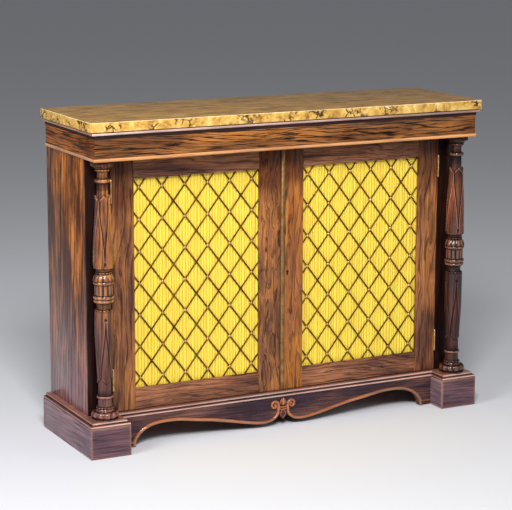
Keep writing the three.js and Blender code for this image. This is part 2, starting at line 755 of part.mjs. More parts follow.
function lockPocket() {
  const halfHeight = lockCaseHeight / 2 + glueGap;
  return box(meetingLineX - cutOverrun, meetingLineX + lockCaseWidth + glueGap, lockCaseY0,
    doorBackY + cutOverrun, lockZ - halfHeight, lockZ + halfHeight);
}

function strikePocket() {
  const halfY = lockBoltThickness / 2 + strikeClearance;
  const halfZ = lockBoltHeight / 2 + strikeClearance;
  const edge = meetingLineX - meetingGap;
  return box(edge - strikeDepth, edge + cutOverrun, lockBoltY - halfY, lockBoltY + halfY,
    lockZ - halfZ, lockZ + halfZ);
}

function addDoorFrame(side, word) {
  const { hingeX, meetingX, sightOuter, sightInner } = doorEdges(side);
  const rebate = sideBox(side, sightInner - rebateWidth, sightOuter + rebateWidth, doorBackY - rebateDepth,
    doorBackY + cutOverrun, sightBottomZ - rebateWidth, sightTopZ + rebateWidth);
  const hingeStile = sideBox(side, sightOuter, hingeX, faceY, doorBackY, doorBottomZ, doorTopZ);
  const mortises = hingeZs.map((z) => leafMortise(side, -1, z));
  addPiece(`${word}_hinge_stile`, cut(hingeStile, [rebate, ...mortises]), rosewood);
  const meetingStile = sideBox(side, meetingX, sightInner, faceY, doorBackY, doorBottomZ, doorTopZ);
  const seatShape = keyholeShape(escutcheonWidth + glueGap);
  const seat = slab(seatShape, faceY - cutOverrun, faceY + escutcheonDepth + glueGap);
  const keyway = slab(keyholeShape(0), faceY, lockCaseY0 + cutOverrun);
  const pockets = side > 0 ? [lockPocket(), seat, keyway] : [strikePocket()];
  addPiece(`${word}_meeting_stile`, cut(meetingStile, [rebate, ...pockets]), rosewood);
  const railX0 = sightInner + glueGap;
  const railX1 = sightOuter - glueGap;
  for (const [place, z0, z1] of [["bottom", doorBottomZ, sightBottomZ], ["top", sightTopZ, doorTopZ]]) {
    const rail = sideBox(side, railX0, railX1, faceY, doorBackY, z0, z1);
    addPiece(`${word}_${place}_rail`, cut(rail, [rebate]), rosewood);
  }
}

// Brass trellis: two layers of flat bars that cross, with a rosette on every other crossing
function addTrellis(side, word) {
  const { sightOuter, sightInner } = doorEdges(side);
  const width = sightOuter - sightInner;
  const height = sightTopZ - sightBottomZ;
  const pitchX = (width - 2 * trellisSideMargin) / (trellisColumns - 1);
  const pitchZ = (height - 2 * trellisEndMargin) / (trellisRows - 1);
  const firstX = sightInner + trellisSideMargin;
  const firstZ = sightBottomZ + trellisEndMargin;
  const shoulderY = doorBackY - rebateDepth + glueGap;
  const middleY = shoulderY + trellisRodThickness;
  const lap = rebateWidth - runningGap;
  const across = new THREE.Vector2(pitchX, pitchZ).normalize();
  const half = trellisRodWidth / 2;
  const bars = [];
  for (let k = 1 - trellisColumns; k <= trellisRows - 1; k += 1) {
    for (const [slope, y0] of [[-side, shoulderY], [side, middleY]]) {
      const startX = firstX - pitchX;
      const endX = firstX + trellisColumns * pitchX;
      const heightAt = (x) => {
        const along = ((x - firstX) / pitchX) * pitchZ;
        const lastZ = firstZ + (trellisColumns - 1 + k) * pitchZ;
        return slope > 0 ? firstZ + k * pitchZ + along : lastZ - along;
      };
      const dx = half * across.y;
      const dz = half * across.x * slope;
      const corners = [
        [startX - dx, heightAt(startX) + dz], [startX + dx, heightAt(startX) - dz],
        [endX + dx, heightAt(endX) - dz], [endX - dx, heightAt(endX) + dz],
      ];
      bars.push(slab(shapeOf(corners.map(([x, z]) => [side * x, z])), y0, y0 + trellisRodThickness));
    }
  }
  const frame = sideBox(side, sightInner - lap, sightOuter + lap, shoulderY - cutOverrun,
    middleY + trellisRodThickness + cutOverrun, sightBottomZ - lap, sightTopZ + lap);
  let grille = bars.map(toSolid).reduce((sum, next) => sum.add(next)).intersect(toSolid(frame));
  for (let column = 0; column < trellisColumns; column += 1) {
    for (let row = 0; row < trellisRows; row += 1) {
      const x = side * (firstX + column * pitchX);
      const z = firstZ + row * pitchZ;
      const rim = (radius, y) => Array.from({ length: rosetteSides }, (_, i) => {
        const angle = (2 * Math.PI * i) / rosetteSides;
        return new THREE.Vector3(x + radius * Math.cos(angle), y, z + radius * Math.sin(angle));
      });
      const top = rim(rosetteTopRadius, shoulderY - rosetteHeight);
      grille = grille.add(toSolid(loft([rim(rosetteRadius, shoulderY), top])));
    }
  }
  addPiece(`${word}_trellis`, toGeometry(grille), brass);
}

// Silk in upright pleats behind the trellis, on a thin board that closes the rebate
function addSilk(side, word) {
  const { sightOuter, sightInner } = doorEdges(side);
  const lap = rebateWidth - runningGap;
  const x0 = sightInner - lap;
  const x1 = sightOuter + lap;
  const frontY = doorBackY - rebateDepth + glueGap + 2 * trellisRodThickness + runningGap;
  const pitch = (x1 - x0) / silkPleats;
  const face = [];
  for (let i = 0; i <= 2 * silkPleats; i += 1) {
    face.push([side * (x0 + (i * pitch) / 2), frontY + (i % 2) * silkPleatDepth]);
  }
  const back = [...face].reverse().map(([x, y]) => [x, y + silkThickness]);
  const heights = [sightBottomZ - lap, sightTopZ + lap];
  addPiece(`${word}_silk`, post(shapeOf([...face, ...back]), ...heights), silk);
  const boardY = doorBackY - glueGap;
  const board = sideBox(side, x0, x1, boardY - silkBackingThickness, boardY, ...heights);
  addPiece(`${word}_silk_backing`, board, pine);
}

function addMeetingStrip() {
  const z0 = doorBottomZ;
  const z1 = doorTopZ;
  const middle = meetingLineX + meetingStripWidth / 2;
  const outline = nose(0, meetingStripProud, -meetingStripWidth / 2, meetingStripWidth / 2, 8);
  const shape = shapeOf(outline.map(([out, across]) => [middle + across, faceY - glueGap - out]));
  addPiece("meeting_strip", post(shape, z0, z1), brass);
}

// Bolts on the back of the left door, one shooting up and one down; both are drawn back
function addBolt(place, up) {
  const way = up ? 1 : -1;
  const endZ = up ? doorTopZ : doorBottomZ;
  const stopZ = up ? soffitZ : baseTopZ;
  const span = (a, b) => (up ? [a, b] : [b, a]);
  const plateZ = endZ - way * boltPlateEndInset;
  const plateY = doorBackY + glueGap;
  const rodY0 = boltRodY - boltRodSize / 2;
  const rodY1 = boltRodY + boltRodSize / 2;
  const plateX = [boltX - boltPlateWidth / 2, boltX + boltPlateWidth / 2];
  const plate = box(...plateX, plateY, plateY + boltPlateThickness,
    ...span(plateZ - way * boltPlateLength, plateZ));
  const half = boltRodSize / 2 + runningGap;
  const bridgeStarts = [plateZ, plateZ - way * (boltPlateLength - boltBridgeLength)];
  const bridges = bridgeStarts.map((z) => box(boltX - half - boltBridgeWall, boltX + half + boltBridgeWall,
    plateY, boltRodY + half + boltBridgeWall, ...span(z - way * boltBridgeLength, z)));
  const channel = box(boltX - half, boltX + half, plateY + boltPlateThickness, boltRodY + half,
    ...span(plateZ - way * (boltPlateLength + cutOverrun), plateZ + way * cutOverrun));
  addPiece(`left_bolt_plate_${place}`, cut(joined([plate, ...bridges]), [channel]), brass);
  const tipZ = stopZ - way * boltTipClearance;
  const rod = box(boltX - boltRodSize / 2, boltX + boltRodSize / 2, rodY0, rodY1,
    ...span(tipZ - way * boltRodLength, tipZ));
  const knob = new THREE.CylinderGeometry(boltKnobRadius, boltKnobRadius, 1, boltKnobSides);
  const knobZ = plateZ - way * (boltPlateLength / 2 + boltTravel / 2);
  remap(knob, (x, h, z) => [boltX + x, h < 0 ? boltRodY : rodY1 + boltKnobLength, knobZ + z]);
  addPiece(`left_bolt_${place}`, joined([rod, weld(knob)]), brass);
}

addTop();
addCornice();
addFrieze();
addCarcase();
addBase();
addApron();
addBolt("top", true);
addBolt("bottom", false);
addMeetingStrip();
addLock();
for (const [side, word] of [[-1, "left"], [1, "right"]]) {
  addColumn(side, word);
  addDoorFrame(side, word);
  addTrellis(side, word);
  addSilk(side, word);
  addHinge(side, word, hingeZs[0], "bottom");
  addHinge(side, word, hingeZs[1], "top");
}

export default cabinet;
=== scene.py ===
import bpy
import json
import random
import numpy as np
from functools import partial
from math import cos, pi, radians, sin
from mathutils import Euler, Matrix, Vector

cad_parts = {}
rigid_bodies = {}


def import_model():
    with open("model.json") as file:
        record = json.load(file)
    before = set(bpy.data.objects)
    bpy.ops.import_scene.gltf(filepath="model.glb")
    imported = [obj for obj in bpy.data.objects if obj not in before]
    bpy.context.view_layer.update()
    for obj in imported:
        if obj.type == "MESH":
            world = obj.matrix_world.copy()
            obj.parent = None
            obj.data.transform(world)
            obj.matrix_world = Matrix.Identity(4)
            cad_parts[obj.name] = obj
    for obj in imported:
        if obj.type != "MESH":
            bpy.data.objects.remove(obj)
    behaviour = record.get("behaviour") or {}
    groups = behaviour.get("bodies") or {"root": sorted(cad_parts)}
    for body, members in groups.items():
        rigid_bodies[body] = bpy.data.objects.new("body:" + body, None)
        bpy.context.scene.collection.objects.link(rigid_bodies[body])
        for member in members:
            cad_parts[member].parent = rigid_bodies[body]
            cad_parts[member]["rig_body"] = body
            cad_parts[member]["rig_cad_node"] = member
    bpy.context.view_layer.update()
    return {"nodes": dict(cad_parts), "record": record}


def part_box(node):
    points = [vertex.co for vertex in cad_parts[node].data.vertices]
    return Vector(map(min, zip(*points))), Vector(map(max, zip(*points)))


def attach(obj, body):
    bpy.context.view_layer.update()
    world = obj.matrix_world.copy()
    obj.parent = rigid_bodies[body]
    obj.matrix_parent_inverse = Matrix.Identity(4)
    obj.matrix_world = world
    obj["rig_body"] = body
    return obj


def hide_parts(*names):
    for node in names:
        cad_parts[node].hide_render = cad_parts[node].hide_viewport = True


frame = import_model()
nodes = frame["nodes"]
bodyOf = {node: body for body, names in frame["record"]["behaviour"]["bodies"].items() for node in names}
mm = 0.001
sides = (("left", -1), ("right", 1))


# small helpers: colours, nodes, selection

def linear(hexColour):
    parts = [int(hexColour[i:i + 2], 16) / 255 for i in (1, 3, 5)]
    return [c / 12.92 if c <= 0.04045 else ((c + 0.055) / 1.055) ** 2.4 for c in parts] + [1.0]


# adds a node with its settings and links, and gives back the output that the next one reads; stops are a
# ramp's places and colours, span what a range goes from and to
def addNode(tree, kind, inputs=None, stops=None, span=(), out=0, **settings):
    node = tree.nodes.new("ShaderNode" + kind)
    inputs = {**(inputs or {}), **dict(zip(("From Min", "From Max", "To Min", "To Max"), span))}
    for name, value in settings.items():
        setattr(node, name, value)
    if stops:
        ramp = node.color_ramp.elements
        while len(ramp) < len(stops):
            ramp.new(0.5)
        for element, (position, colour) in zip(ramp, stops):
            element.position = position
            element.color = linear(colour) if isinstance(colour, str) else (colour, colour, colour, 1)
    for name, value in inputs.items():
        if isinstance(value, bpy.types.NodeSocket):
            tree.links.new(value, node.inputs[name])
        else:
            node.inputs[name].default_value = value
    return node.outputs[out] if node.outputs else None


# an empty material, with what adds nodes to it and the coordinates that its patterns lie in
def newMaterial(name):
    material = bpy.data.materials.new(name)
    material.use_nodes = True
    material.node_tree.nodes.clear()
    add = partial(addNode, material.node_tree)
    return material, add, add("TexCoord", out="Object")


def finishMaterial(material, inputs):
    shader = addNode(material.node_tree, "BsdfPrincipled", inputs)
    addNode(material.node_tree, "OutputMaterial", {"Surface": shader})
    return material


def addObject(name, data):
    item = bpy.data.objects.new(name, data)
    bpy.context.scene.collection.objects.link(item)
    return item


def activate(*pieces):
    bpy.ops.object.select_all(action="DESELECT")
    for piece in pieces:
        piece.select_set(True)
    bpy.context.view_layer.objects.active = pieces[0]


def enterEdit(piece, action="SELECT"):
    activate(piece)
    bpy.ops.object.mode_set(mode="EDIT")
    bpy.ops.mesh.select_all(action=action)


def leaveEdit():
    bpy.ops.object.mode_set(mode="OBJECT")


def applyPlace(piece):
    activate(piece)
    bpy.ops.object.transform_apply(location=True, rotation=True, scale=True)
    return piece


def addPrimitive(operator, **settings):
    bpy.ops.object.select_all(action="DESELECT")
    operator(**settings)
    return applyPlace(bpy.context.active_object)


def applyModifiers(piece):
    activate(piece)
    for modifier in list(piece.modifiers):
        bpy.ops.object.modifier_apply(modifier=modifier.name)


def toMesh(curve):
    activate(curve)
    bpy.ops.object.convert(target="MESH")
    return bpy.context.view_layer.objects.active


def joinAll(pieces):
    activate(*pieces)
    bpy.ops.object.join()
    return bpy.context.view_layer.objects.active


def cleanMesh(piece, merge=0.01 * mm, flat=None):
    enterEdit(piece)
    bpy.ops.mesh.remove_doubles(threshold=merge)
    if flat:
        bpy.ops.mesh.dissolve_limited(angle_limit=radians(flat))
    bpy.ops.mesh.normals_make_consistent(inside=False)
    leaveEdit()


def softenEdges(piece, width, segments=2, angle=50):
    bevel = piece.modifiers.new("edges", "BEVEL")
    bevel.width = width * mm
    bevel.segments = segments
    bevel.limit_method = "ANGLE"
    bevel.angle_limit = radians(angle)
    applyModifiers(piece)


def settle(piece, name, body, material, stands=(), smooth=35):
    applyPlace(piece)
    bpy.ops.object.shade_smooth_by_angle(angle=radians(smooth))
    piece.name = name
    piece.data.name = name
    piece.data.materials.clear()
    piece.data.materials.append(material)
    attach(piece, body)
    if stands:
        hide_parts(*stands)
    return piece


def copyTo(piece, matrix):
    twin = piece.copy()
    twin.data = piece.data.copy()
    bpy.context.scene.collection.objects.link(twin)
    twin.matrix_world = matrix @ piece.matrix_world
    return twin


def meshPoints(piece):
    points = np.zeros(len(piece.data.vertices) * 3, np.float32)
    piece.data.vertices.foreach_get("co", points)
    return points.reshape(-1, 3).astype(float)


def setPoints(piece, points):
    piece.data.vertices.foreach_set("co", points.astype(np.float32).ravel())
    piece.data.update()


# how pale or dark each point is painted: -1 dark, for dirt and painted shade in hollows and creases, 0 plain,
# 1 pale, for wear and painted highlight on edges
def setRelief(piece, values):
    layer = piece.data.attributes.new("relief", "FLOAT", "POINT")
    layer.data.foreach_set("value", np.asarray(values, np.float32))


# 1 in the middle and next to nothing two spreads away
def hump(distance, spread):
    return np.exp(-(distance / spread) ** 2)


# a CAD board stood for by a merged copy with softened edges, in mm and degrees
def finishBoard(node, material, edge, edgeAngle=50, smooth=40):
    piece = nodes[node].copy()
    piece.data = nodes[node].data.copy()
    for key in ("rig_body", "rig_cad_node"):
        del piece[key]
    piece.parent = None
    bpy.context.scene.collection.objects.link(piece)
    activate(piece)
    bpy.ops.mesh.customdata_custom_splitnormals_clear()
    cleanMesh(piece, flat=1)
    if edge:
        softenEdges(piece, edge, angle=edgeAngle)
    return settle(piece, node + "_finished", bodyOf[node], material, [node], smooth)


# gives the faces of a board that look left or right a veneer of their own
def veneerSides(piece, material, lean):
    piece.data.materials.append(material)
    for face in piece.data.polygons:
        face.material_index = int(abs(face.normal.x) > lean)


# camera, found by fitting the cabinet's straight edges: metres, radians, and mm of lens and sensor
view = {"place": (-2.4101, -4.6291, 1.5354), "yaw": 0.4749, "pitch": 0.1998, "roll": 0.0033,
        "lens": 130.14, "sensor": 36}
camera = addObject("camera", bpy.data.cameras.new("camera"))
camera.location = view["place"]
aim = Euler((pi / 2 - view["pitch"], 0, -view["yaw"])).to_matrix()
camera.rotation_mode = "QUATERNION"
camera.rotation_quaternion = (aim @ Matrix.Rotation(view["roll"], 3, "Z")).to_quaternion()
camera.data.lens = view["lens"]
camera.data.sensor_width = view["sensor"]
bpy.context.scene.camera = camera


# turns that lay a pattern's X along the grain
grainTurn = {"X": (0, 0, 0), "Y": (0, 0, -pi / 2), "Z": (0, pi / 2, 0)}


# distance from the nearest growth line, 0 on it and 0.5 midway, ragged by the fibre
def growthWave(add, fibre, lines):
    ragged = add("Math", {0: fibre, 1: 0.5, 2: lines}, operation="MULTIPLY_ADD")
    return add("Math", {0: ragged, 1: 0.5}, operation="PINGPONG")


# Brazilian rosewood, French polished: near-black streaks drawn out over orange-brown, under a clear gloss;
# the relief attribute paints it pale on edges (wear and painted highlight) and near black in hollows (dirt
# and painted shade).
# Light and deep are the two browns of the heartwood, ring the spacing in mm of the growth lines,
# figure how far they wander, knot how short their loops are and dark how much black streak there is.
# The painted height tone is a colour that the board takes on between two heights: painted shadow at the
# tops of the doors, painted floor reflection low on the sides and the left column. Wear and highlight is
# the colour of the pale edges, for wear and painted highlight.
def rosewood(name, grain, at, light, deep, figure, ring, dark, knot=1.0, polish=0.3, gloss=0.0,
             paintedHeightTone=None, worn="#CE9A72"):
    material, add, place = newMaterial(name)
    board = add("Mapping", {"Vector": place, "Location": at, "Rotation": grainTurn[grain]})
    cut = (0.05, 0.62, 0.78)  # the way across the growth lines, as the board was sawn
    # noises drawn out along the grain: scale per metre, stretch, detail, roughness, shift
    drawn = {"swell": (11.0 * knot, 0.2, 2.5, 0.5, 0.0), "fibre": (1 / (5 * mm), 0.035, 4.0, 0.65, 0.0),
             "patch": (15.0, 0.24, 4.0, 0.62, 2.3), "streaks": (2.4 / ring / mm, 0.03, 3.0, 0.6, 5.1),
             # open pores, drawn wider than the real 0.2 mm so that they show
             "pores": (1 / (0.9 * mm), 0.05, 2.0, 0.5, 0.0)}
    flow = board
    for layer, (scale, stretch, detail, roughness, shift) in drawn.items():
        long = add("Mapping", {
            "Vector": board if layer == "patch" else flow, "Scale": (stretch, 1, 1), "Location": [shift] * 3})
        drawn[layer] = add("TexNoise", {
            "Vector": long, "Scale": scale, "Detail": detail, "Roughness": roughness})
        if layer == "swell":
            # the growth lines wander, and fibre, streaks and pores go with them
            wander = 2 * figure * ring * mm
            sway = (0, cut[1] * wander, cut[2] * wander)
            flow = add("VectorMath", {0: drawn[layer], 1: sway, 2: board}, operation="MULTIPLY_ADD")
    across = [c / ring / mm for c in cut]
    lines = add("VectorMath", {0: flow, 1: across}, out="Value", operation="DOT_PRODUCT")
    ringWave = growthWave(add, drawn["fibre"], lines)
    ringDepth = add("Math", {0: ringWave, 1: 2.0}, operation="MULTIPLY")
    ringShade = add("ValToRGB", {"Fac": ringDepth}, stops=[
        (0.0, 1 - dark), (0.1, 1 - 0.8 * dark), (0.26, 1 - 0.15 * dark), (0.6, 1.0), (1.0, 1 - 0.25 * dark)])
    depth = add("MapRange", {"Value": drawn["patch"]}, span=(0.4, 0.6))
    body = add("Mix", {0: depth, 6: linear(deep), 7: linear(light)}, out=2, data_type="RGBA")
    # painted shadow and painted reflection by height, mixed into the wood's colour
    if paintedHeightTone:
        tone, near, far = paintedHeightTone
        height = add("SeparateXYZ", {0: place}, out="Z")
        turned = add("MapRange", {"Value": height}, span=(near, far, 0.0, 0.85),
                     interpolation_type="SMOOTHSTEP")
        body = add("Mix", {0: turned, 6: body, 7: linear(tone)}, out=2, data_type="RGBA")
    fibreShade = add("MapRange", {"Value": drawn["fibre"]}, span=(0.3, 0.7, 0.62, 1.38))
    shade = add("Math", {0: ringShade, 1: fibreShade}, operation="MULTIPLY")
    colour = add("HueSaturation", {"Color": body, "Saturation": 1.05, "Value": shade})
    streaks = add("ValToRGB", {"Fac": drawn["streaks"]}, stops=[
        (0.36, dark), (0.42, dark * 0.75), (0.46, 0.0)])
    # the relief attribute carries painted highlight and painted shade, with wear and dirt
    relief = add("Attribute", out="Fac", attribute_name="relief")
    haze = add("TexNoise", {"Vector": board, "Scale": 9.0, "Detail": 4.0})
    uneven = add("MapRange", {"Value": haze}, span=(0.35, 0.65, 0.42, 0.78))
    wearAndHighlightShare = add("MapRange", {"Value": relief}, span=(0.0, 1.0, 0.0, uneven))
    shadeAndGrime = add("MapRange", {"Value": relief}, span=(0.0, -1.0, 0.0, 0.92))
    for mask, tint in ((streaks, "#1A0D0A"), (wearAndHighlightShare, worn), (shadeAndGrime, "#0C0608")):
        colour = add("Mix", {0: mask, 6: colour, 7: linear(tint)}, out=2, data_type="RGBA")
    # dirt and painted shade in the hollows are matt
    sheen = add("MapRange", {"Value": haze}, span=(0.3, 0.7, polish - 0.05, polish + 0.1))
    rough = add("Math", {0: shadeAndGrime, 1: 0.6, 2: sheen}, operation="MULTIPLY_ADD", use_clamp=True)
    coat = 0.0
    if gloss:
        notDarkened = add("Math", {0: 1.0, 1: shadeAndGrime}, operation="SUBTRACT")
        coat = add("Math", {0: notDarkened, 1: gloss}, operation="MULTIPLY")
    bump = add("Bump", {"Height": drawn["pores"], "Strength": 0.12, "Distance": 0.2 * mm})
    return finishMaterial(material, {
        "Base Color": colour, "Roughness": rough, "Normal": bump, "IOR": 1.5, "Specular IOR Level": 0.15,
        "Coat Weight": coat, "Coat Roughness": 0.14, "Coat IOR": 1.5})


# Siena marble, sawn and polished: warm yellow, crazed with thin dark veins; the top is painted darker and
# browner as shade
def sienaMarble(name):
    material, add, place = newMaterial(name)
    warp = add("TexNoise", {"Vector": place, "Scale": 26.0, "Detail": 6.0, "Roughness": 0.6}, out="Color")
    push = add("VectorMath", {0: warp, 1: (0.5, 0.5, 0.5)}, operation="SUBTRACT")
    bent = add("VectorMath", {0: push, 1: (0.05, 0.05, 0.05), 2: place}, operation="MULTIPLY_ADD")
    clouds = add("TexNoise", {"Vector": bent, "Scale": 42.0, "Detail": 7.0, "Roughness": 0.68})
    colour = add("ValToRGB", {"Fac": clouds}, stops=[
        (0.32, "#966A2C"), (0.45, "#C29343"), (0.57, "#D8B05A"), (0.72, "#ECD698")])
    cracks = add("TexVoronoi", {"Vector": bent, "Scale": 46.0}, feature="DISTANCE_TO_EDGE")
    crackLine = add("ValToRGB", {"Fac": cracks}, stops=[(0.0, 1.0), (0.05, 0.9), (0.13, 0.0)])
    patchy = add("TexNoise", {"Vector": place, "Scale": 17.0, "Detail": 3.0})
    patches = add("ValToRGB", {"Fac": patchy}, stops=[(0.5, 0.0), (0.56, 1.0)])
    veins = add("Math", {0: crackLine, 1: patches}, operation="MULTIPLY")
    # the top is painted darker and browner, as shade, with a combed mottle, and its arris has a painted
    # highlight
    facing = add("SeparateXYZ", {0: add("TexCoord", out="Normal")}, out="Z")
    combed = add("Mapping", {"Vector": place, "Scale": (0.5, 2.0, 1)})
    streaked = add("TexNoise", {"Vector": combed, "Scale": 22.0, "Detail": 5.0, "Roughness": 0.65})
    mottle = add("ValToRGB", {"Fac": streaked}, stops=[(0.35, "#64482A"), (0.5, "#966F3E"), (0.68, "#B68C50")])
    topShade = add("MapRange", {"Value": facing}, span=(0.6, 0.95, 0.0, 0.84))
    arrisHighlight = add("ValToRGB", {"Fac": facing}, stops=[(0.1, 0.0), (0.35, 0.6), (0.7, 0.6), (0.95, 0.0)])
    for mask, tint in ((veins, linear("#3A2410")), (topShade, mottle), (arrisHighlight, linear("#F4E6BC"))):
        colour = add("Mix", {0: mask, 6: colour, 7: tint}, out=2, data_type="RGBA")
    rough = add("MapRange", {"Value": facing}, span=(0.5, 1.0, 0.2, 0.42))
    bump = add("Bump", {"Height": veins, "Strength": 0.25, "Distance": -0.3 * mm})
    return finishMaterial(material, {
        "Base Color": colour, "Roughness": rough, "IOR": 1.5, "Normal": bump, "Subsurface Weight": 0.05,
        "Subsurface Radius": (0.004, 0.003, 0.001), "Subsurface Scale": 1.0})


# Drawn and cast brass, lacquered long ago: dull gold that has browned unevenly
def agedBrass(name, pale, brown, rough):
    material, add, place = newMaterial(name)
    mottle = add("TexNoise", {"Vector": place, "Scale": 40.0, "Detail": 5.0, "Roughness": 0.65})
    colour = add("ValToRGB", {"Fac": mottle}, stops=[(0.35, brown), (0.62, pale)])
    spread = add("MapRange", {"Value": mottle}, span=(0.3, 0.7, rough + 0.12, rough - 0.08))
    grit = add("TexNoise", {"Vector": place, "Scale": 900.0, "Detail": 2.0})
    bump = add("Bump", {"Height": grit, "Strength": 0.15, "Distance": 0.1 * mm})
    return finishMaterial(material, {
        "Base Color": colour, "Metallic": 1.0, "Roughness": spread, "Normal": bump})


# Filed steel of the lock: grey with fine file marks
def filedSteel(name):
    material, add, place = newMaterial(name)
    drawn = add("Mapping", {"Vector": place, "Scale": (0.05, 1, 1)})
    marks = add("TexNoise", {"Vector": drawn, "Scale": 1400.0, "Detail": 3.0})
    colour = add("ValToRGB", {"Fac": marks}, stops=[(0.3, "#5B5650"), (0.7, "#8D8A85")])
    bump = add("Bump", {"Height": marks, "Strength": 0.2, "Distance": 0.1 * mm})
    return finishMaterial(material, {
        "Base Color": colour, "Metallic": 1.0, "Roughness": 0.42, "Normal": bump})


# Planed deal, never polished: straw-brown with thin reddish growth lines, greyed and stained by age
def agedPine(name, grain, at):
    material, add, place = newMaterial(name)
    board = add("Mapping", {"Vector": place, "Location": at, "Rotation": grainTurn[grain]})
    # noises drawn out along the grain: scale per metre, stretch, detail
    drawn = {"swell": (7.0, 0.16, 1.5), "fibre": (1 / (3 * mm), 0.02, 3.0)}
    for layer, (scale, stretch, detail) in drawn.items():
        long = add("Mapping", {"Vector": board, "Scale": (stretch, 1, 1)})
        drawn[layer] = add("TexNoise", {"Vector": long, "Scale": scale, "Detail": detail})
    straight = add("VectorMath", {0: board, 1: (2, 75, 60)}, out="Value", operation="DOT_PRODUCT")
    bent = add("Math", {0: drawn["swell"], 1: 7.0, 2: straight}, operation="MULTIPLY_ADD")
    colour = add("ValToRGB", {"Fac": growthWave(add, drawn["fibre"], bent)}, stops=[
        (0.0, "#8E6038"), (0.08, "#A67C4C"), (0.25, "#BC9562"), (0.5, "#B48B57")])
    darkening = add("TexNoise", {"Vector": board, "Scale": 6.0, "Detail": 6.0, "Roughness": 0.6})
    darkShare = add("MapRange", {"Value": darkening}, span=(0.4, 0.72, 0.0, 0.55))
    aged = add("Mix", {0: darkShare, 6: colour, 7: linear("#6A5138")}, out=2, data_type="RGBA")
    shade = add("MapRange", {"Value": drawn["fibre"]}, span=(0.3, 0.7, 0.85, 1.12))
    toned = add("HueSaturation", {"Color": aged, "Value": shade})
    bump = add("Bump", {"Height": drawn["fibre"], "Strength": 0.25, "Distance": 0.3 * mm})
    return finishMaterial(material, {
        "Base Color": toned, "Roughness": 0.75, "Normal": bump, "Specular IOR Level": 0.3})


# Plain-woven silk, dyed lemon yellow: a soft sheen, slubs that run up the pleats, painted shade and dust in
# the folds
def yellowSilk(name):
    material, add, place = newMaterial(name)
    drawn = add("Mapping", {"Vector": place, "Scale": (1, 1, 0.04)})
    slubs = add("TexNoise", {"Vector": drawn, "Scale": 420.0, "Detail": 4.0, "Roughness": 0.6})
    colour = add("ValToRGB", {"Fac": slubs}, stops=[(0.3, "#DAB83A"), (0.5, "#EACC44"), (0.7, "#F4DA52")])
    depth = add("SeparateXYZ", {0: place}, out="Y")
    # painted shade, from just behind the crests of the pleats to well down in the folds
    foldShade = add("MapRange", {"Value": depth}, span=(-85.4 * mm, -82.4 * mm, 0.0, 0.22))
    foldShaded = add("Mix", {0: foldShade, 6: colour, 7: linear("#A0802A")}, out=2, data_type="RGBA")
    # threads 0.9 mm apart, wider than the real weave so that they show close up
    weave = add("TexWave", {"Vector": place, "Scale": 0.314 / (0.9 * mm), "Distortion": 0.6},
                out="Fac", wave_type="BANDS", bands_direction="Z")
    bump = add("Bump", {"Height": weave, "Strength": 0.1, "Distance": 0.1 * mm})
    return finishMaterial(material, {
        "Base Color": foldShaded, "Roughness": 0.55, "Normal": bump, "Sheen Weight": 0.08,
        "Sheen Roughness": 0.4, "IOR": 1.45})


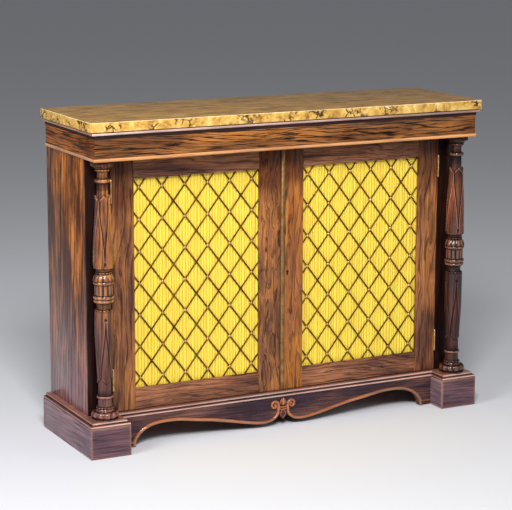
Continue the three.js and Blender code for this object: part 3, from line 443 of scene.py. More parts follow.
# each rosewood: grain, place on the board, light, deep, figure, ring, dark, knot, polish, gloss,
# painted height tone and the pale colour of wear and painted highlight, as far as it isn't plain
rosewoods = {
    "frieze": ("X", (0.3, 0.11, 0.02), "#A46C40", "#6C462C", 3.4, 8, 1.0, 1.25),
    "frieze_side": ("Y", (1.3, 0.4, 0.2), "#AC6A38", "#5E341E", 1.8, 9, 0.95, 1.2),
    # the side turns a greyer pink low down: painted reflection of the floor
    "side": ("Z", (0.9, 0.23, 0.4), "#C07840", "#562D1E", 1.2, 13, 1.0, 1, 0.3, 0.4, ("#8E666C", 0.45, 0.14)),
    # near black, for the stiles and soffit: darker wood with painted shade behind the columns and under the
    # top
    "stile": ("Z", (2.1, 0.7, 0.1), "#28140F", "#12090A", 1.0, 16, 0.6),
    # the doors' stiles darken towards their tops: painted shadow of the frieze
    "door_stile": ("Z", (3.3, 0.35, 0.8), "#B0764C", "#684436", 2.2, 17, 0.6, 1.6, 0.3, 0,
                   ("#5E3826", 0.62, 0.71)),
    "meeting_left": ("Z", (4.4, 0.6, 0.15), "#AC7248", "#664638", 3.2, 16, 0.62, 2.6, 0.3, 0,
                     ("#5A3020", 0.65, 0.71)),
    "meeting_right": ("Z", (5.7, 0.2, 0.45), "#B4743F", "#80523C", 2.4, 18, 0.5, 2.2, 0.3, 0,
                      ("#5E3622", 0.68, 0.73)),
    "door_rail": ("X", (4.2, 0.9, 0.35), "#A26E52", "#6B4638", 2.6, 11, 0.62, 1.6),
    "plinth": ("X", (5.2, 0.15, 0.6), "#705258", "#544049", 1.2, 10, 0.42),
    # the plinth's side faces are paler and greyer than its front: painted reflection of the floor
    "plinth_side": ("Y", (6.1, 0.5, 0.3), "#8A6E74", "#66525C", 1.0, 11, 0.4),
    # the front cornice's nose takes a pinkish white: painted highlight, with wear
    "cornice": ("X", (7.4, 0.2, 0.9), "#8E5C4A", "#663F36", 0.8, 14, 0.4, 1, 0.2, 0.9, None, "#F6D8CC"),
    "cornice_side": ("Y", (8.2, 0.6, 0.1), "#8E5C4A", "#663F36", 0.8, 14, 0.4, 1, 0.2, 0.7),
    # the front bead is lighter than its sides: painted light, over lighter wood
    "bead": ("X", (9.4, 0.3, 0.5), "#D8924A", "#A86A3A", 0.6, 16, 0.4, 1, 0.22, 0.5),
    "bead_side": ("Y", (1.4, 0.8, 0.5), "#9C6438", "#744628", 0.6, 16, 0.4, 1, 0.22, 0.5),
    # the base moulding's reeds take a pinkish white: painted highlight, with wear
    "base_moulding": ("X", (2.7, 0.2, 0.3), "#A66A58", "#764E46", 0.8, 14, 0.4, 1, 0.2, 0.9, None, "#F6D8CC"),
    "base_side": ("Y", (3.7, 0.4, 0.1), "#745058", "#4A343C", 0.8, 14, 0.5, 1, 0.2, 0.4),
    # the left column turns purplish low down: painted floor reflection and painted shade
    "turned_left": ("Z", (2.4, 0.1, 0.7), "#C27A3E", "#4C2A28", 0.8, 18, 0.7, 1, 0.2, 0.9,
                    ("#774C48", 0.44, 0.32)),
    "turned_right": ("Z", (1.6, 0.9, 0.2), "#743E2A", "#361E1E", 0.8, 18, 0.7, 1, 0.2, 0.9),
    "apron": ("X", (3.9, 0.6, 0.2), "#735048", "#3A2A32", 1.2, 11, 0.5),
    # the carving is lighter and more orange than the apron board it is cut from: painted light
    "carved": ("X", (5.9, 0.1, 0.6), "#A8623F", "#7C4832", 0.6, 16, 0.3, 1, 0.2, 0.8),
}
# each brass: pale, brown and roughness
brasses = {
    "drawn_strip": ("#B08C5E", "#7C5E3A", 0.45), "keyhole": ("#6E5A34", "#3A2C1A", 0.45),
    "trellis": ("#8A6428", "#4E3412", 0.58), "cast_rosette": ("#DEB084", "#9A6A3E", 0.36),
    "hinge": ("#E8C684", "#B48E50", 0.32),
}
marble = sienaMarble("marble_siena_polished")
wood = {name: rosewood("rosewood_" + name, *finish) for name, finish in rosewoods.items()}
brass = {name: agedBrass("brass_" + name, *finish) for name, finish in brasses.items()}
steel = filedSteel("steel_filed")
silkYellow = yellowSilk("silk_plain_woven")
print("materials made")


# marble slab, sawn square with a softened arris all round
slabLook = {"arris": 2.2, "segments": 4}
low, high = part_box("marble_top")
slab = addPrimitive(bpy.ops.mesh.primitive_cube_add, size=1, location=(low + high) / 2, scale=high - low)
softenEdges(slab, slabLook["arris"], slabLook["segments"])
settle(slab, "marble_slab", "carcase", marble, ["marble_top"])
print("marble slab done")


# flat boards, each a copy of its CAD board with softened edges
veneered = {
    "frieze_front": "frieze", "frieze_left": "frieze_side", "frieze_right": "frieze_side",
    "soffit_board": "stile", "side_left": "side", "side_right": "side", "stile_left": "stile",
    "stile_right": "stile", "pedestal_left": "plinth", "pedestal_right": "plinth",
    "plinth_side_left": "plinth_side", "plinth_side_right": "plinth_side",
}
for word, side in sides:
    veneered.update({f"{word}_hinge_stile": "door_stile", f"{word}_meeting_stile": f"meeting_{word}",
                     f"{word}_bottom_rail": "door_rail", f"{word}_top_rail": "door_rail"})
deal = {"sub_top": "X", "back_board_left": "Z", "back_board_right": "Z", "shelf": "X",
        "shelf_bearer_left": "Y", "shelf_bearer_right": "Y", "plinth_back": "X",
        "left_silk_backing": "Z", "right_silk_backing": "Z"}  # each pine board with its grain
boardLook = {
    "edge": {"plinth": 0.3, "pedestal": 1.5}, "plainEdge": 0.8, "dealEdge": 0.5,
    "sideFaces": {"pedestal": "plinth_side", "stile": "side"}, "wornBand": 5, "worn": 0.36,
}


# a band along the free arrises of a block, at the front, the sides and the foot, that is rubbed paler
def wearArrises(piece, band, worn):
    enterEdit(piece, "DESELECT")
    bpy.ops.mesh.select_mode(type="FACE")
    leaveEdit()
    for face in piece.data.polygons:
        face.select = face.area > (4 * band * mm) ** 2
    bpy.ops.object.mode_set(mode="EDIT")
    bpy.ops.mesh.inset(thickness=band * mm, use_individual=True)
    bpy.ops.mesh.select_mode(type="VERT")
    leaveEdit()
    points = meshPoints(piece) / mm
    gaps = points - points.min(axis=0)
    gaps[:, 0] = np.minimum(gaps[:, 0], points[:, 0].max() - points[:, 0])
    gaps.sort(axis=1)  # a point on an arris is close to two of the faces
    setRelief(piece, worn * (gaps[:, 1] < band / 2))


for node, finish in veneered.items():
    family = node.split("_")[0]
    piece = finishBoard(node, wood[finish], boardLook["edge"].get(family, boardLook["plainEdge"]))
    if family in boardLook["sideFaces"]:
        veneerSides(piece, wood[boardLook["sideFaces"][family]], 0.8)
    if family == "pedestal":
        wearArrises(piece, boardLook["wornBand"], boardLook["worn"])
for number, (node, grain) in enumerate(deal.items()):
    pine = agedPine(f"pine_{node}", grain, (0.7 * number, 0.31 * number, 0.17))
    finishBoard(node, pine, boardLook["dealEdge"])
print("boards done")


# run mouldings, mitred at the two front corners
mouldingLook = {
    "face": -172.5, "side": 595, "back": 183.5, "joint": 0.2, "noseSteps": 14, "coveSteps": 8,
    "cornice": {"bottom": 870.2, "lip": 879.2, "top": 887, "cove": 1.0, "lipOut": 4.4, "proud": 5.4},
    "bead": {"bottom": 808.5, "top": 817.5, "out": 0.2, "proud": 2.8},
    # the outer part of a nose is painted pale, as wear and painted highlight, least at the front lip's far
    # end; the cove is painted dark as shade
    "nose": 2.8, "noseFade": 1.4, "coveStart": 1, "beadPaleReach": 6.5,
    "wearAndHighlightShare": 0.95, "farEnd": 0.25, "darkShare": 0.95,
    # the base board's two reeds, with painted highlight, and the quirk between them, with painted shade:
    # height, spread, relief
    "reeds": ((88.9, 2.2, 0.95), (96.5, 2.1, 0.9), (92.5, 0.9, -0.9)),
}


def noseLine(out, proud, low, high):
    turns = [pi * (i / mouldingLook["noseSteps"] - 0.5) for i in range(mouldingLook["noseSteps"] + 1)]
    return [(out + proud * cos(t), (low + high) / 2 + (high - low) / 2 * sin(t)) for t in turns]


def makeMoulding(node, profile, side, material):
    look = mouldingLook
    shape = bpy.data.meshes.new("profile")
    shape.from_pydata([(out, 0, z) for out, z in profile], [], [list(range(len(profile)))])
    piece = addObject("moulding", shape)
    enterEdit(piece)
    bpy.ops.mesh.extrude_region_move(TRANSFORM_OT_translate={"value": (0, 1, 0)})
    leaveEdit()
    points = meshPoints(piece)
    out, far, z = points[:, 0], points[:, 1] > 0.5, points[:, 2]
    end = look["side"] - look["joint"]
    if side:
        x = side * (look["side"] + out)
        y = np.where(far, look["back"], look["face"] + look["joint"] - out)
    else:
        x = np.where(far, end + out, -end - out)
        y = look["face"] - out
    setPoints(piece, np.stack([x, y, z], axis=1) * mm)
    # painted highlight with wear on the noses, painted shade in the cornice's cove
    nose = out.max() - look["nose"]
    onCornice = z > look["bead"]["top"]
    wearAndHighlightShare = look["wearAndHighlightShare"] * np.clip((out - nose) / look["noseFade"], 0, 1)
    wearAndHighlightShare *= z > look["bead"]["top"] - look["beadPaleReach"]
    if not side:
        wearAndHighlightShare *= np.where(far & onCornice, look["farEnd"], 1)
    setRelief(piece, wearAndHighlightShare - look["darkShare"] * (out < nose - look["coveStart"]) * onCornice)
    cleanMesh(piece)
    settle(piece, node + "_run", "carcase", material, [node], 40)


cornice, bead = mouldingLook["cornice"], mouldingLook["bead"]
corniceProfile = [(0, cornice["bottom"])]
for i in range(mouldingLook["coveSteps"]):
    turn = pi / 2 * i / mouldingLook["coveSteps"]
    corniceProfile.append((cornice["cove"] + (cornice["lipOut"] - cornice["cove"]) * (1 - cos(turn)),
                           cornice["bottom"] + (cornice["lip"] - cornice["bottom"]) * sin(turn)))
corniceProfile += noseLine(cornice["lipOut"], cornice["proud"], cornice["lip"], cornice["top"])
corniceProfile.append((0, cornice["top"]))
beadProfile = noseLine(bead["out"], bead["proud"], bead["bottom"], bead["top"])
makeMoulding("cornice_front", corniceProfile, 0, wood["cornice"])
makeMoulding("frieze_bead_front", beadProfile, 0, wood["bead"])
for word, side in sides:
    makeMoulding(f"cornice_{word}", corniceProfile, side, wood["cornice_side"])
    makeMoulding(f"frieze_bead_{word}", beadProfile, side, wood["bead_side"])
base = finishBoard("base_board", wood["base_moulding"], 0, smooth=45)
height = meshPoints(base)[:, 2] / mm
# painted highlight on the reeds, painted shade in the quirk
setRelief(base, sum(relief * hump(height - z, spread) for z, spread, relief in mouldingLook["reeds"]))
veneerSides(base, wood["base_side"], 0.2)
print("mouldings done")


# turned and carved column: each member is kind, lower and upper height, lower and upper radius, swell
columnLook = {
    "x": 558.3, "y": -134.6, "turns": 168, "leafAxis": -101,
    "lowerBase": [
        ("flat", 100.2, 100.9, 35.2, 36, 0), ("flat", 101.0, 103.8, 36, 36, 0),
        ("flat", 103.9, 104.4, 35.7, 35, 0), ("flat", 104.5, 107, 31.5, 31.5, 0),
        ("lobes", 107, 123, 33.4, 31.2, 5.2), ("flat", 123.2, 125, 25.5, 25.3, 0),
        ("round", 125.2, 130, 25, 22, -1.2), ("beads", 130.2, 135.4, 21, 21, 3.4),
        ("round", 136, 158, 20.6, 19.4, -0.7), ("round", 158.6, 166, 19.8, 19.8, 3.0),
        ("flat", 166.4, 186, 18.6, 18.3, 0),
    ],
    "lowerShaft": {"from": 188, "to": 397.6, "tip": 202, "valley": 218, "drop": 379, "plain": 18.2,
                   "worn": 0.7, "radius": [(188, 18.8), (218, 19.9), (242, 21.2), (295, 23.6), (340, 24.6),
                                          (398, 25.2)]},
    "collar": [
        ("flat", 397.8, 400.4, 25.4, 25.2, 0), ("beads", 400.8, 406, 21.4, 21.4, 3.2),
        ("round", 406.4, 424, 22, 25, -4.4), ("round", 424.6, 432.6, 25, 25, 3.0),
        ("flat", 432.8, 434, 25.2, 25.2, 0), ("round", 434.2, 443.8, 26, 26, 3.2),
        ("flutes", 444.4, 473.4, 24.6, 24.6, 2.4), ("round", 474, 483, 25.6, 25.6, 3.0),
        ("lobes", 483.6, 503.2, 28.2, 21, 2.6), ("beads", 503.6, 508.4, 19.6, 19.6, 2.8),
        ("round", 508.8, 517.6, 21, 24.4, -1.4),
    ],
    "upperShaft": {"from": 519, "to": 729, "tip": 716, "valley": 700, "drop": 531, "plain": 15.0,
                   "worn": 0.9, "radius": [(519, 27.1), (560, 26.2), (610, 24.4), (660, 22), (700, 19.8),
                                          (729, 19)]},
    "top": [
        ("flat", 731, 748.6, 14.8, 14.2, 0), ("round", 749.2, 760, 16.6, 16.6, 4.4),
        ("round", 760.6, 780, 14.2, 14.6, -0.7), ("round", 780.4, 786, 18, 18.4, 1.8),
        ("round", 786.4, 795, 20.6, 29, -1.6), ("flat", 795.4, 796, 31, 31.7, 0),
        ("flat", 796.2, 807.4, 31.8, 31.8, 0), ("flat", 807.6, 808.3, 31.7, 31, 0),
    ],
    # heights of the creases between members, painted dark as shade, and painted light and shade by height
    "creases": (104.2, 123.4, 130.1, 135.8, 158.3, 166.4, 398.2, 406.2, 424.4, 433.9, 444.1, 473.7, 483.3,
              503.4, 508.7, 518.3, 730, 749, 760.5, 780.2, 786.2), "creaseShade": 1.1,
    "shade": [(100, 0), (124, 0), (136, -0.2), (140, -0.45), (156, -0.4), (159, 0.2), (166, 0), (168, -0.35),
              (188, -0.6), (300, -0.5), (395, -0.35), (398, 0.4), (400, 0), (406, -0.2), (409, -0.75),
              (422, -0.6), (425, 0.1), (433, 0.1), (444, 0), (505, 0), (509, -0.75), (517, -0.7), (519, 0.4),
              (522, -0.05), (650, 0.1), (725, 0), (732, -0.1), (745, -0.65), (749, -0.4), (752, 0),
              (757, -0.05), (761, -0.45), (776, -0.25), (780, -0.5), (783, 0), (787, -0.85), (794, -0.7),
              (795.9, 0.8), (796.1, -0.75), (809, -0.85)],
    # beads, flutes and lobes: pairs round the column, depth, swell at which they are full, gap
    "staves": {"beads": (7, 0, 1, 1), "flutes": (6, 2.6, 0.9, 1), "lobes": (6, 1.7, 2, 0.55)},
    # the staves' section: turn, roundness and mean height; the gap between them, cut in and painted dark as
    # shade: share of a stave, sharpness and depth; from where their crests and the proud rings are painted
    # pale, as wear and painted highlight, and how much
    "staveTurn": 0.1, "staveRound": 0.5, "staveMean": 0.75, "gap": (0.5, 0.6, 0.8),
    "crestWearAndHighlight": (0.8, 0.25), "ringWearAndHighlight": (0.2, 0.2),
    # carved leaves: half widths in degrees by the share of the length, from the wide end, then in mm
    # how high or deep each part is cut and how far it spreads
    "leafHalf": ((0, 45), (0.15, 42), (0.48, 22), (0.74, 10), (0.94, 5), (1, 4)),
    "bladeHalf": ((0, 34), (0.15, 24), (0.33, 13), (0.5, 0)),
    "ridge": 1.0, "ridgeSpread": 0.9, "groove": 1.7, "grooveIn": 2.4, "grooveSpread": 1.25, "blade": 0.9,
    "drop": 1.6, "dropRadius": 5.4, "dropSpread": 2, "lipIn": 0.8, "lipSpread": 1.2, "neck": 1.6,
    # painted shade, with dirt, on the neck: from how far beyond the leaf ends, how much, its middle and
    # spread
    "neckShadeAndDirt": (0.5, 0.8, 2.5, 1.6), "ridgeWearAndHighlight": 0.9, "grooveShadeAndDirt": 1.3, "shaftStep": 2.0,
}


def turnedRows(look):
    rows = []  # height, radius, kind, swell share
    for group in ("lowerBase", "lowerShaft", "collar", "upperShaft", "top"):
        part = look[group]
        if isinstance(part, dict):
            count = round((part["to"] - part["from"]) / look["shaftStep"])
            for i in range(count + 1):
                z = part["from"] + (part["to"] - part["from"]) * i / count
                rows.append((z, np.interp(z, *zip(*part["radius"])), group, 0))
            continue
        for kind, z0, z1, r0, r1, swell in part:
            steps = {"flat": 1, "flutes": 12}.get(kind, 8)
            for i in range(steps + 1):
                s = i / steps
                t = s if kind in ("flat", "flutes") else (1 - cos(pi * s)) / 2
                bulge = 0 if kind in ("flat", "flutes", "beads") else swell * sin(pi * s)
                rows.append((z0 + (z1 - z0) * t, r0 + (r1 - r0) * t + bulge, kind,
                             sin(pi * s) * swell))
    return rows


# angle is measured from the nearest leaf's axis; the leaf is widest at its valley end
def carveShaft(shaft, look, angle, z, radius):
    up = 1 if shaft["tip"] > shaft["valley"] else -1
    reach = abs(shaft["valley"] - shaft["drop"])
    s = np.clip((shaft["valley"] - z) * up / reach, 0, 1)
    half = np.interp(s, *zip(*look["leafHalf"])) * pi / 180 * radius
    fromDrop = (z - shaft["drop"]) * up
    loop = np.sqrt(np.clip(look["dropRadius"] ** 2 - fromDrop ** 2, 0, None))
    half = np.where(fromDrop < 0, loop, np.maximum(half, loop))
    arc = np.abs(angle) * radius
    inside = half - arc - np.clip(-fromDrop - look["dropRadius"], 0, None)
    ridge = hump(inside, look["ridgeSpread"])
    groove = hump(inside - look["grooveIn"], look["grooveSpread"])
    drop = np.exp(-(arc ** 2 + fromDrop ** 2) / look["dropSpread"] ** 2)
    bladeHalf = np.interp(s, *zip(*look["bladeHalf"])) * pi / 180 * radius
    blade = np.clip(1 - (arc / np.maximum(bladeHalf, 0.1)) ** 2, 0, 1)
    move = look["ridge"] * ridge - look["groove"] * groove + look["blade"] * blade - look["drop"] * drop
    # beyond the pointed leaf ends the shaft drops to its neck
    tipZ = shaft["tip"] + (shaft["valley"] - shaft["tip"]) * np.abs(angle) / (pi / 4)
    beyond = (z - tipZ) * up
    lip = hump(beyond + look["lipIn"], look["lipSpread"])
    neck = np.clip(beyond / look["neck"], 0, 1)
    neck = neck * neck * (3 - 2 * neck)
    # painted shade with dirt under the leaf ends, on the neck, in the grooves and in the drop; pale ridges,
    # as wear and painted highlight
    start, darkening, middle, spread = look["neckShadeAndDirt"]
    worn = look["ridgeWearAndHighlight"] * np.clip(shaft["worn"] * ridge + lip, 0, 1)
    relief = np.where(beyond > start, -darkening * hump(beyond - middle, spread),
                      worn - look["grooveShadeAndDirt"] * groove - drop)
    return (radius + move + look["ridge"] * lip) * (1 - neck) + shaft["plain"] * neck, relief


def makeColumn(word, side):
    look = columnLook
    rows = turnedRows(look)
    points = [(r * mm, 0, z * mm) for z, r, kind, swell in rows]
    points = [(0, 0, points[0][2]), *points, (0, 0, points[-1][2])]
    profile = bpy.data.meshes.new("profile")
    profile.from_pydata(points, [(i, i + 1) for i in range(len(points) - 1)], [])
    piece = addObject("column", profile)
    enterEdit(piece)
    bpy.ops.mesh.spin(steps=look["turns"], angle=2 * pi, center=(0, 0, 0), axis=(0, 0, 1))
    leaveEdit()
    cleanMesh(piece, 0.02 * mm)
    at = meshPoints(piece) / mm
    radius = np.hypot(at[:, 0], at[:, 1])
    angle = np.arctan2(at[:, 1], at[:, 0])
    leaf = (angle - radians(look["leafAxis"]) + pi / 4) % (pi / 2) - pi / 4
    moved = radius.copy()
    relief = np.zeros(len(at))
    close = 0.01
    gapWide, gapSharp, gapCut = look["gap"]
    crestFrom, crestWearAndHighlight = look["crestWearAndHighlight"]
    ringFrom, ringWearAndHighlight = look["ringWearAndHighlight"]
    for key in ("lowerShaft", "upperShaft"):
        shaft = look[key]
        on = (at[:, 2] >= shaft["from"] - close) & (at[:, 2] <= shaft["to"] + close)
        moved[on], relief[on] = carveShaft(shaft, look, leaf[on], at[on, 2], radius[on])
    for z, r, kind, swell in rows:
        on = np.abs(at[:, 2] - z) < close
        if kind in look["staves"]:
            pairs, depth, full, gapShare = look["staves"][kind]
            stave = np.abs(np.sin(pairs * (angle[on] - look["staveTurn"])))
            arch = stave ** look["staveRound"]
            gap = gapShare * np.clip(1 - stave / gapWide, 0, 1) ** gapSharp
            share = min(1, abs(swell) / full)
            if kind == "beads":
                moved[on] = radius[on] + arch * abs(swell)
            else:
                carved = (arch - look["staveMean"]) * depth * share - gapCut * gap * share
                moved[on] = radius[on] + carved
            # painted shade in the gaps between staves; pale crests and proud rings, for wear and painted
            # highlight
            relief[on] = -gap * share + crestWearAndHighlight * (stave > crestFrom)
        elif kind == "round" and swell > ringFrom:
            relief[on] = ringWearAndHighlight
    # painted light and shade by height
    relief += np.interp(at[:, 2], *zip(*look["shade"]))
    # painted shade in the creases between members
    for z in look["creases"]:
        relief -= look["creaseShade"] * hump(at[:, 2] - z, look["creaseShade"])
    onAxis = radius <= close
    scale = np.where(onAxis, 1, moved / np.where(onAxis, 1, radius))
    at[:, 0] = at[:, 0] * scale + side * look["x"]
    at[:, 1] = at[:, 1] * scale + look["y"]
    setPoints(piece, at * mm)
    setRelief(piece, np.clip(relief, -1, 1))
    settle(piece, f"column_{word}_turned", "carcase", wood[f"turned_{word}"],
           [f"column_{word}"], 50)


for word, side in sides:
    makeColumn(word, side)
print("columns done")


# apron: an arched board, with a rounded bead along its edge that curls into two volutes
apronLook = {
    "halfWidth": 499.4, "height": 84.8, "face": -114.6, "thickness": 18, "foot": 3, "soften": 0.6,
    "bead": 4.9,
    # the lower edge from the foot inwards, in half widths and in rises of 85 mm
    "rise": 85, "edgeSteps": 90,
    "edge": [(0.921, 0.035), (0.918, 0.2), (0.9, 0.355), (0.869, 0.512), (0.821, 0.63), (0.77, 0.682),
             (0.71, 0.69), (0.65, 0.67), (0.56, 0.585), (0.44, 0.478), (0.33, 0.348), (0.24, 0.235),
             (0.165, 0.158), (0.11, 0.142), (0.07, 0.19), (0.04, 0.3), (0.024, 0.43)],
    "volute": {"x": 27, "z": 63, "radius": 13, "eye": 3.6, "start": 1.1, "turns": 1.3, "bead": 2.9,
               "steps": 40, "knob": (3.4, 4.6, 3.4), "knobOut": 0.6},
    "footBar": {"z": 13, "to": 0.935, "radius": 2.8, "steps": 6},
    "bud": {"z": 72.5, "drop": 1, "wide": 5.27, "high": 12, "proud": 6, "taper": 0.55},
    "petal": {"x": 2, "bow": 7.5, "close": 0.45, "z": 62, "high": 18, "thin": 1.2, "thick": 1.5, "steps": 12},
    "leaf": [(2.6, 47), (9.4, 33.5), (0, 19.5)],
    "leafEdge": {"in": 1.2, "out": 0.3, "up": 0.8, "thick": 1.7, "thinner": 0.5, "steps": 16},
    # the ties between the volutes: height and half width, then how far they bow and how thick they are
    "ties": ((57, 13), (50, 10.5)), "tieBow": 1.6, "tieRadius": 2.1, "tieSteps": 15,
    # carving that stands further out than this is painted pale, as wear and painted highlight, over so many
    # mm
    "paleOut": 2.4, "paleFade": 2.2, "worn": 0.4,
}


# a smooth curve through the points, in even steps
def smoothLine(points, steps):
    points = np.array(points)
    ends = [2 * points[0] - points[1], *points, 2 * points[-1] - points[-2]]
    fine = []
    for i in range(1, len(ends) - 2):
        p0, p1, p2, p3 = ends[i - 1:i + 3]
        for k in range(12):
            t = k / 12
            fine.append(0.5 * (2 * p1 + (p2 - p0) * t + (2 * p0 - 5 * p1 + 4 * p2 - p3) * t ** 2
                               + (3 * p1 - p0 - 3 * p2 + p3) * t ** 3))
    fine.append(points[-1])
    fine = np.array(fine)
    run = np.concatenate([[0], np.cumsum(np.linalg.norm(np.diff(fine, axis=0), axis=1))])
    at = np.linspace(0, run[-1], steps)
    return np.stack([np.interp(at, run, fine[:, 0]), np.interp(at, run, fine[:, 1])], axis=1)


def addCurve(name, dimensions, points):
    line = bpy.data.curves.new(name, "CURVE")
    line.dimensions = dimensions
    spline = line.splines.new("POLY")
    spline.points.add(len(points) - 1)
    for point, at in zip(spline.points, points):
        point.co = (at[0] * mm, at[1] * mm, at[2] * mm, 1)
    return line


# a round bar along a line of points, thicker or thinner by its radii
def makeBar(points, radii):
    line = addCurve("bar", "3D", points)
    for point, radius in zip(line.splines[0].points, radii):
        point.radius = radius
    line.bevel_depth = mm
    line.bevel_resolution = 3
    line.use_fill_caps = True
    return toMesh(addObject("bar", line))


def roundKnob(centre, size, segments=24, rings=14):
    return addPrimitive(bpy.ops.mesh.primitive_uv_sphere_add, segments=segments, ring_count=rings, radius=1,
                        location=Vector(centre) * mm, scale=Vector(size) * mm)


def makeApronBoard(edge):
    look = apronLook
    half = [(look["halfWidth"], look["height"]), (look["halfWidth"], look["foot"]), *edge, look["leaf"][1]]
    outline = [(x, z, 0) for x, z in half + [look["leaf"][2]]] + [(-x, z, 0) for x, z in reversed(half)]
    shape = addCurve("apron", "2D", outline)
    shape.splines[0].use_cyclic_u = True
    shape.fill_mode = "BOTH"
    shape.extrude = (look["thickness"] / 2 - look["soften"]) * mm
    shape.bevel_depth = look["soften"] * mm
    shape.offset = -look["soften"] * mm
    board = addObject("apron_board", shape)
    board.rotation_euler = (pi / 2, 0, 0)
    board.location = (0, (look["face"] + look["thickness"] / 2) * mm, 0)
    settle(toMesh(board), "apron_board", "carcase", wood["apron"], ["apron"], 35)


def makeApronCarving(edge):
    look, face = apronLook, apronLook["face"]
    volute, foot, bud, petal, leaf = (look[key] for key in ("volute", "footBar", "bud", "petal", "leafEdge"))
    line = []
    for i, point in enumerate(edge):
        ahead, behind = edge[min(i + 1, len(edge) - 1)], edge[max(i - 1, 0)]
        tangent = (ahead - behind) / np.linalg.norm(ahead - behind)
        line.append(point + np.array([tangent[1], -tangent[0]]) * look["bead"])
    for i in range(1, volute["steps"] + 1):
        t = i / volute["steps"]
        angle = pi * (volute["start"] - 2 * volute["turns"] * t)
        reach = volute["radius"] + (volute["eye"] - volute["radius"]) * t
        line.append(np.array([volute["x"] + reach * cos(angle), volute["z"] + reach * sin(angle)]))
    last = len(line) - 1
    radii = [look["bead"] + (volute["bead"] - look["bead"]) * (i / last) ** 3 for i in range(last + 1)]
    footLine = np.linspace(look["halfWidth"], foot["to"] * look["halfWidth"], foot["steps"])
    footRadii = [foot["radius"]] * foot["steps"]
    bars = []
    for word, side in sides:
        bars.append(makeBar([(side * x, face, z) for x, z in line], radii))
        bars.append(roundKnob((side * volute["x"], face - volute["knobOut"], volute["z"]), volute["knob"]))
        bars.append(makeBar([(side * x, face, foot["z"]) for x in footLine], footRadii))
    core = roundKnob((0, face, bud["z"] - bud["drop"]), (bud["wide"], bud["proud"], bud["high"]), 32, 20)
    points = meshPoints(core) / mm
    points[:, 0] *= 1 - bud["taper"] * np.clip((points[:, 2] - bud["z"]) / bud["high"], 0, 1) ** 1.5
    setPoints(core, points * mm)
    bars.append(core)
    edgeLine = smoothLine(look["leaf"], leaf["steps"])
    for word, side in sides:
        bars.append(makeBar(
            [(side * (petal["x"] + petal["bow"] * sin(pi * t) * (1 - petal["close"] * t)), face,
              petal["z"] + petal["high"] * t) for t in np.linspace(0, 1, petal["steps"])],
            [petal["thin"] + petal["thick"] * sin(pi * t)
             for t in np.linspace(0.05, 0.95, petal["steps"])]))
        bars.append(makeBar([(side * max(x - leaf["in"], 0), face - leaf["out"], z + leaf["up"])
                             for x, z in edgeLine],
                            [leaf["thick"] - leaf["thinner"] * t for t in np.linspace(0, 1, leaf["steps"])]))
    for z, wide in look["ties"]:
        tie = [(wide * s, face - look["tieBow"] * (1 - s * s), z - look["tieBow"] * (1 - s * s))
               for s in np.linspace(-1, 1, look["tieSteps"])]
        bars.append(makeBar(tie, [look["tieRadius"]] * look["tieSteps"]))
    carving = joinAll(bars)
    # painted highlight with wear on the carving that stands furthest out
    out = face - look["paleOut"] - meshPoints(carving)[:, 1] / mm
    setRelief(carving, look["worn"] * np.clip(out / look["paleFade"], 0, 1))
    settle(carving, "apron_carving", "carcase", wood["carved"], [], 50)


apronEdge = smoothLine([(x * apronLook["halfWidth"], z * apronLook["rise"])
                        for x, z in apronLook["edge"]], apronLook["edgeSteps"])
makeApronBoard(apronEdge)
makeApronCarving(apronEdge)
print("apron done")


# brass trellis: two layers of rounded bars, with a petalled rosette on every other crossing
trellisLook = {
    "columns": 6, "rows": 7, "firstX": 89.1, "firstZ": 188, "pitchX": 68.72, "pitchZ": 88.67,
    "width": 4.5, "depth": 2.0, "frontY": -88.95, "backY": -87.55,
    "left": 64.0, "right": 457.8, "bottom": 156.4, "top": 751.6,
    # the rosette: radius, how far its six petals part, its thickness, the boss in its middle, its back
    "rosette": 4.5, "petalDip": 0.2, "thick": 1.9, "boss": 0.25, "flatBack": 0.6, "rosetteY": -89.7,
}


def makeRosette():
    look = trellisLook
    piece = addPrimitive(bpy.ops.mesh.primitive_uv_sphere_add, segments=18, ring_count=6, radius=1,
                         rotation=(pi / 2, 0, 0))
    points = meshPoints(piece)
    angle = np.arctan2(points[:, 2], points[:, 0])
    reach = np.hypot(points[:, 0], points[:, 2])
    petal = 1 - look["petalDip"] * (1 - np.abs(np.cos(3 * angle))) * reach
    points[:, 0] *= petal * look["rosette"]
    points[:, 2] *= petal * look["rosette"]
    points[:, 1] *= look["thick"] * (1 + look["boss"] * np.clip(1 - reach * 2, 0, 1))
    points[:, 1] = np.minimum(points[:, 1], look["flatBack"])
    setPoints(piece, points * mm)
    return piece


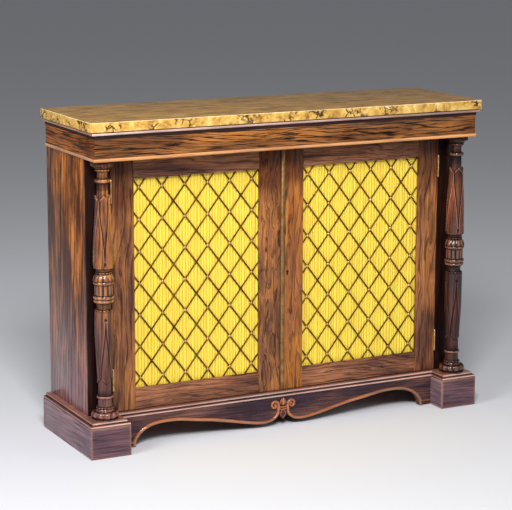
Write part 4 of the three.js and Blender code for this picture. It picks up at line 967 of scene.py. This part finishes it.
def makeTrellis(word, side):
    look = trellisLook
    stock = addPrimitive(bpy.ops.mesh.primitive_cylinder_add, vertices=12, radius=1, depth=1,
                         rotation=(0, 0, pi / 12))
    bars = []
    close = 0.01
    for slope, y in ((-side, look["frontY"]), (side, look["backY"])):
        rise = look["pitchZ"] / look["pitchX"] * slope
        for k in range(1 - look["columns"], look["rows"]):
            row = k if slope > 0 else look["columns"] - 1 + k
            z0 = look["firstZ"] + row * look["pitchZ"]
            # a bar runs between the places where its line crosses the edges of the opening
            spans = [(x, z0 + (x - look["firstX"]) * rise) for x in (look["left"], look["right"])]
            spans += [(look["firstX"] + (z - z0) / rise, z) for z in (look["bottom"], look["top"])]
            ends = sorted({(round(x, 3), round(z, 3)) for x, z in spans
                           if look["left"] - close <= x <= look["right"] + close
                           and look["bottom"] - close <= z <= look["top"] + close})
            if len(ends) < 2:
                continue
            a = Vector((side * ends[0][0], y, ends[0][1]))
            b = Vector((side * ends[-1][0], y, ends[-1][1]))
            along, out = (b - a).normalized(), Vector((0, 1, 0))
            turn = Matrix((along.cross(out), out, along)).transposed().to_4x4()
            size = Matrix.Diagonal((look["width"] / 2, look["depth"] / 2, (b - a).length, 1))
            bars.append(copyTo(stock, Matrix.Scale(mm, 4) @ Matrix.Translation((a + b) / 2) @ turn @ size))
    bpy.data.objects.remove(stock)
    settle(joinAll(bars), f"{word}_trellis_bars", f"{word}_door", brass["trellis"],
           [f"{word}_trellis"], 50)
    pattern = makeRosette()
    roses = []
    for column in range(look["columns"]):
        for row in range(look["rows"]):
            x = side * (look["firstX"] + column * look["pitchX"])
            z = look["firstZ"] + row * look["pitchZ"]
            roses.append(copyTo(pattern, Matrix.Translation(Vector((x, look["rosetteY"], z)) * mm)))
    bpy.data.objects.remove(pattern)
    settle(joinAll(roses), f"{word}_trellis_rosettes", f"{word}_door", brass["cast_rosette"], [], 40)


for word, side in sides:
    makeTrellis(word, side)
print("trellis done")


# silk, gathered on rods at its top and bottom into upright pleats that wander a little
silkLook = {
    "left": 64.2, "right": 457.6, "bottom": 156.4, "top": 751.6, "front": -86.3, "depth": 4.2, "pleats": 43,
    "across": 12, "up": 44, "thick": 0.4, "seed": 7,
    # each pleat's least width and share of depth, and what chance adds to them
    "width": (0.7, 0.6), "share": (0.62, 0.38), "crest": 0.32, "hem": 0.3,
    # sideways drift in mm, and unevenness of depth: size, waves up the silk, shift from pleat to pleat
    "drift": ((0.35, 5, 1.7), (0.25, 11, 0.9)), "uneven": (0.12, 7, 2.3),
}


def makeSilk(word, side):
    look = silkLook
    pleats = look["pleats"]
    chance = random.Random(look["seed"] + side)
    widths = [look["width"][0] + look["width"][1] * chance.random() for _ in range(pleats)]
    depths = [look["share"][0] + look["share"][1] * chance.random() for _ in range(pleats + 1)]
    edges = np.concatenate([[0], np.cumsum(widths)]) / sum(widths)
    piece = addPrimitive(bpy.ops.mesh.primitive_grid_add, x_subdivisions=pleats * look["across"],
                         y_subdivisions=look["up"], size=1)
    points = meshPoints(piece)
    u = np.clip(points[:, 0] + 0.5, 0, 1)
    v = points[:, 1] + 0.5
    pleat = np.interp(u, np.linspace(0, 1, pleats + 1), np.arange(pleats + 1))
    index = np.clip(pleat.astype(int), 0, pleats - 1)
    drift = sum(size * np.sin(v * waves + index * shift) for size, waves, shift in look["drift"])
    size, waves, shift = look["uneven"]
    deep = np.array(depths)[index] * (1 + size * np.sin(v * waves + index * shift))
    crest = np.abs(np.sin(np.pi * (pleat - index))) ** look["crest"]
    x = np.interp(u, np.linspace(0, 1, pleats + 1), edges)
    x = look["left"] + x * (look["right"] - look["left"]) + drift * np.sin(np.pi * u) ** look["hem"]
    y = look["front"] + look["depth"] * (1 - np.clip(crest * deep, 0, 1))
    z = look["bottom"] + v * (look["top"] - look["bottom"])
    setPoints(piece, np.stack([side * x, y, z], axis=1) * mm)
    cleanMesh(piece)
    cloth = piece.modifiers.new("cloth", "SOLIDIFY")
    cloth.thickness = look["thick"] * mm
    cloth.offset = 0
    applyModifiers(piece)
    silk = settle(piece, f"{word}_silk_pleated", f"{word}_door", silkYellow, [f"{word}_silk"], 80)


for word, side in sides:
    makeSilk(word, side)


# brass and steel fittings
finishBoard("meeting_strip", brass["drawn_strip"], 0.2, 60, 50)
for word, side in sides:
    for place in ("bottom", "top"):
        for leaf in ("cabinet", "door"):
            finishBoard(f"{leaf}_hinge_{word}_{place}", brass["hinge"], 0.15, 50, 50)
for place in ("top", "bottom"):
    finishBoard(f"left_bolt_plate_{place}", brass["hinge"], 0.4)
    finishBoard(f"left_bolt_{place}", brass["hinge"], 0.5)
finishBoard("lock_bolt", brass["hinge"], 0.4)
finishBoard("keyhole_escutcheon", brass["keyhole"], 0.2, 60, 50)
finishBoard("lock_case", steel, 0.4)
print("fittings done")


# plain pale floor, with soft light from large panels, the main one high and in front
studio = {
    "floor": "#DCDDE2", "floorSize": 60, "floorDrop": 0.0005, "sky": "#E2E3E6", "skyStrength": 0.24,
    # each panel: name, place, aim, size in m, power in W
    "lights": [
        ("key", (-1.5, -3.0, 3.0), (0, 0, 0.45), 1.1, 165),
        ("left", (-3.4, -1.2, 2.4), (0, 0, 0.45), 1.6, 80),
        ("right", (2.8, -3.0, 2.2), (0, 0, 0.45), 2.0, 25),
    ],
}
floor = addPrimitive(bpy.ops.mesh.primitive_plane_add, size=studio["floorSize"],
                     location=(0, 0, -studio["floorDrop"]))
floor.name = "floor"
floorPaper, add, place = newMaterial("floor_paper")
finishMaterial(floorPaper, {"Base Color": linear(studio["floor"]), "Roughness": 0.75})
floor.data.materials.append(floorPaper)
for name, place, aim, size, power in studio["lights"]:
    panel = bpy.data.lights.new(name, "AREA")
    panel.shape = "SQUARE"
    panel.size = size
    panel.energy = power
    lamp = addObject(name, panel)
    lamp.location = place
    lamp.rotation_mode = "QUATERNION"
    lamp.rotation_quaternion = (Vector(place) - Vector(aim)).to_track_quat("Z", "Y")
world = bpy.data.worlds.new("studio")
bpy.context.scene.world = world
world.use_nodes = True
world.node_tree.nodes.clear()
glow = addNode(world.node_tree, "Background", {"Color": linear(studio["sky"]),
                                               "Strength": studio["skyStrength"]})
addNode(world.node_tree, "OutputWorld", {"Surface": glow})
bpy.context.scene.view_settings.view_transform = "Standard"
print("studio done")
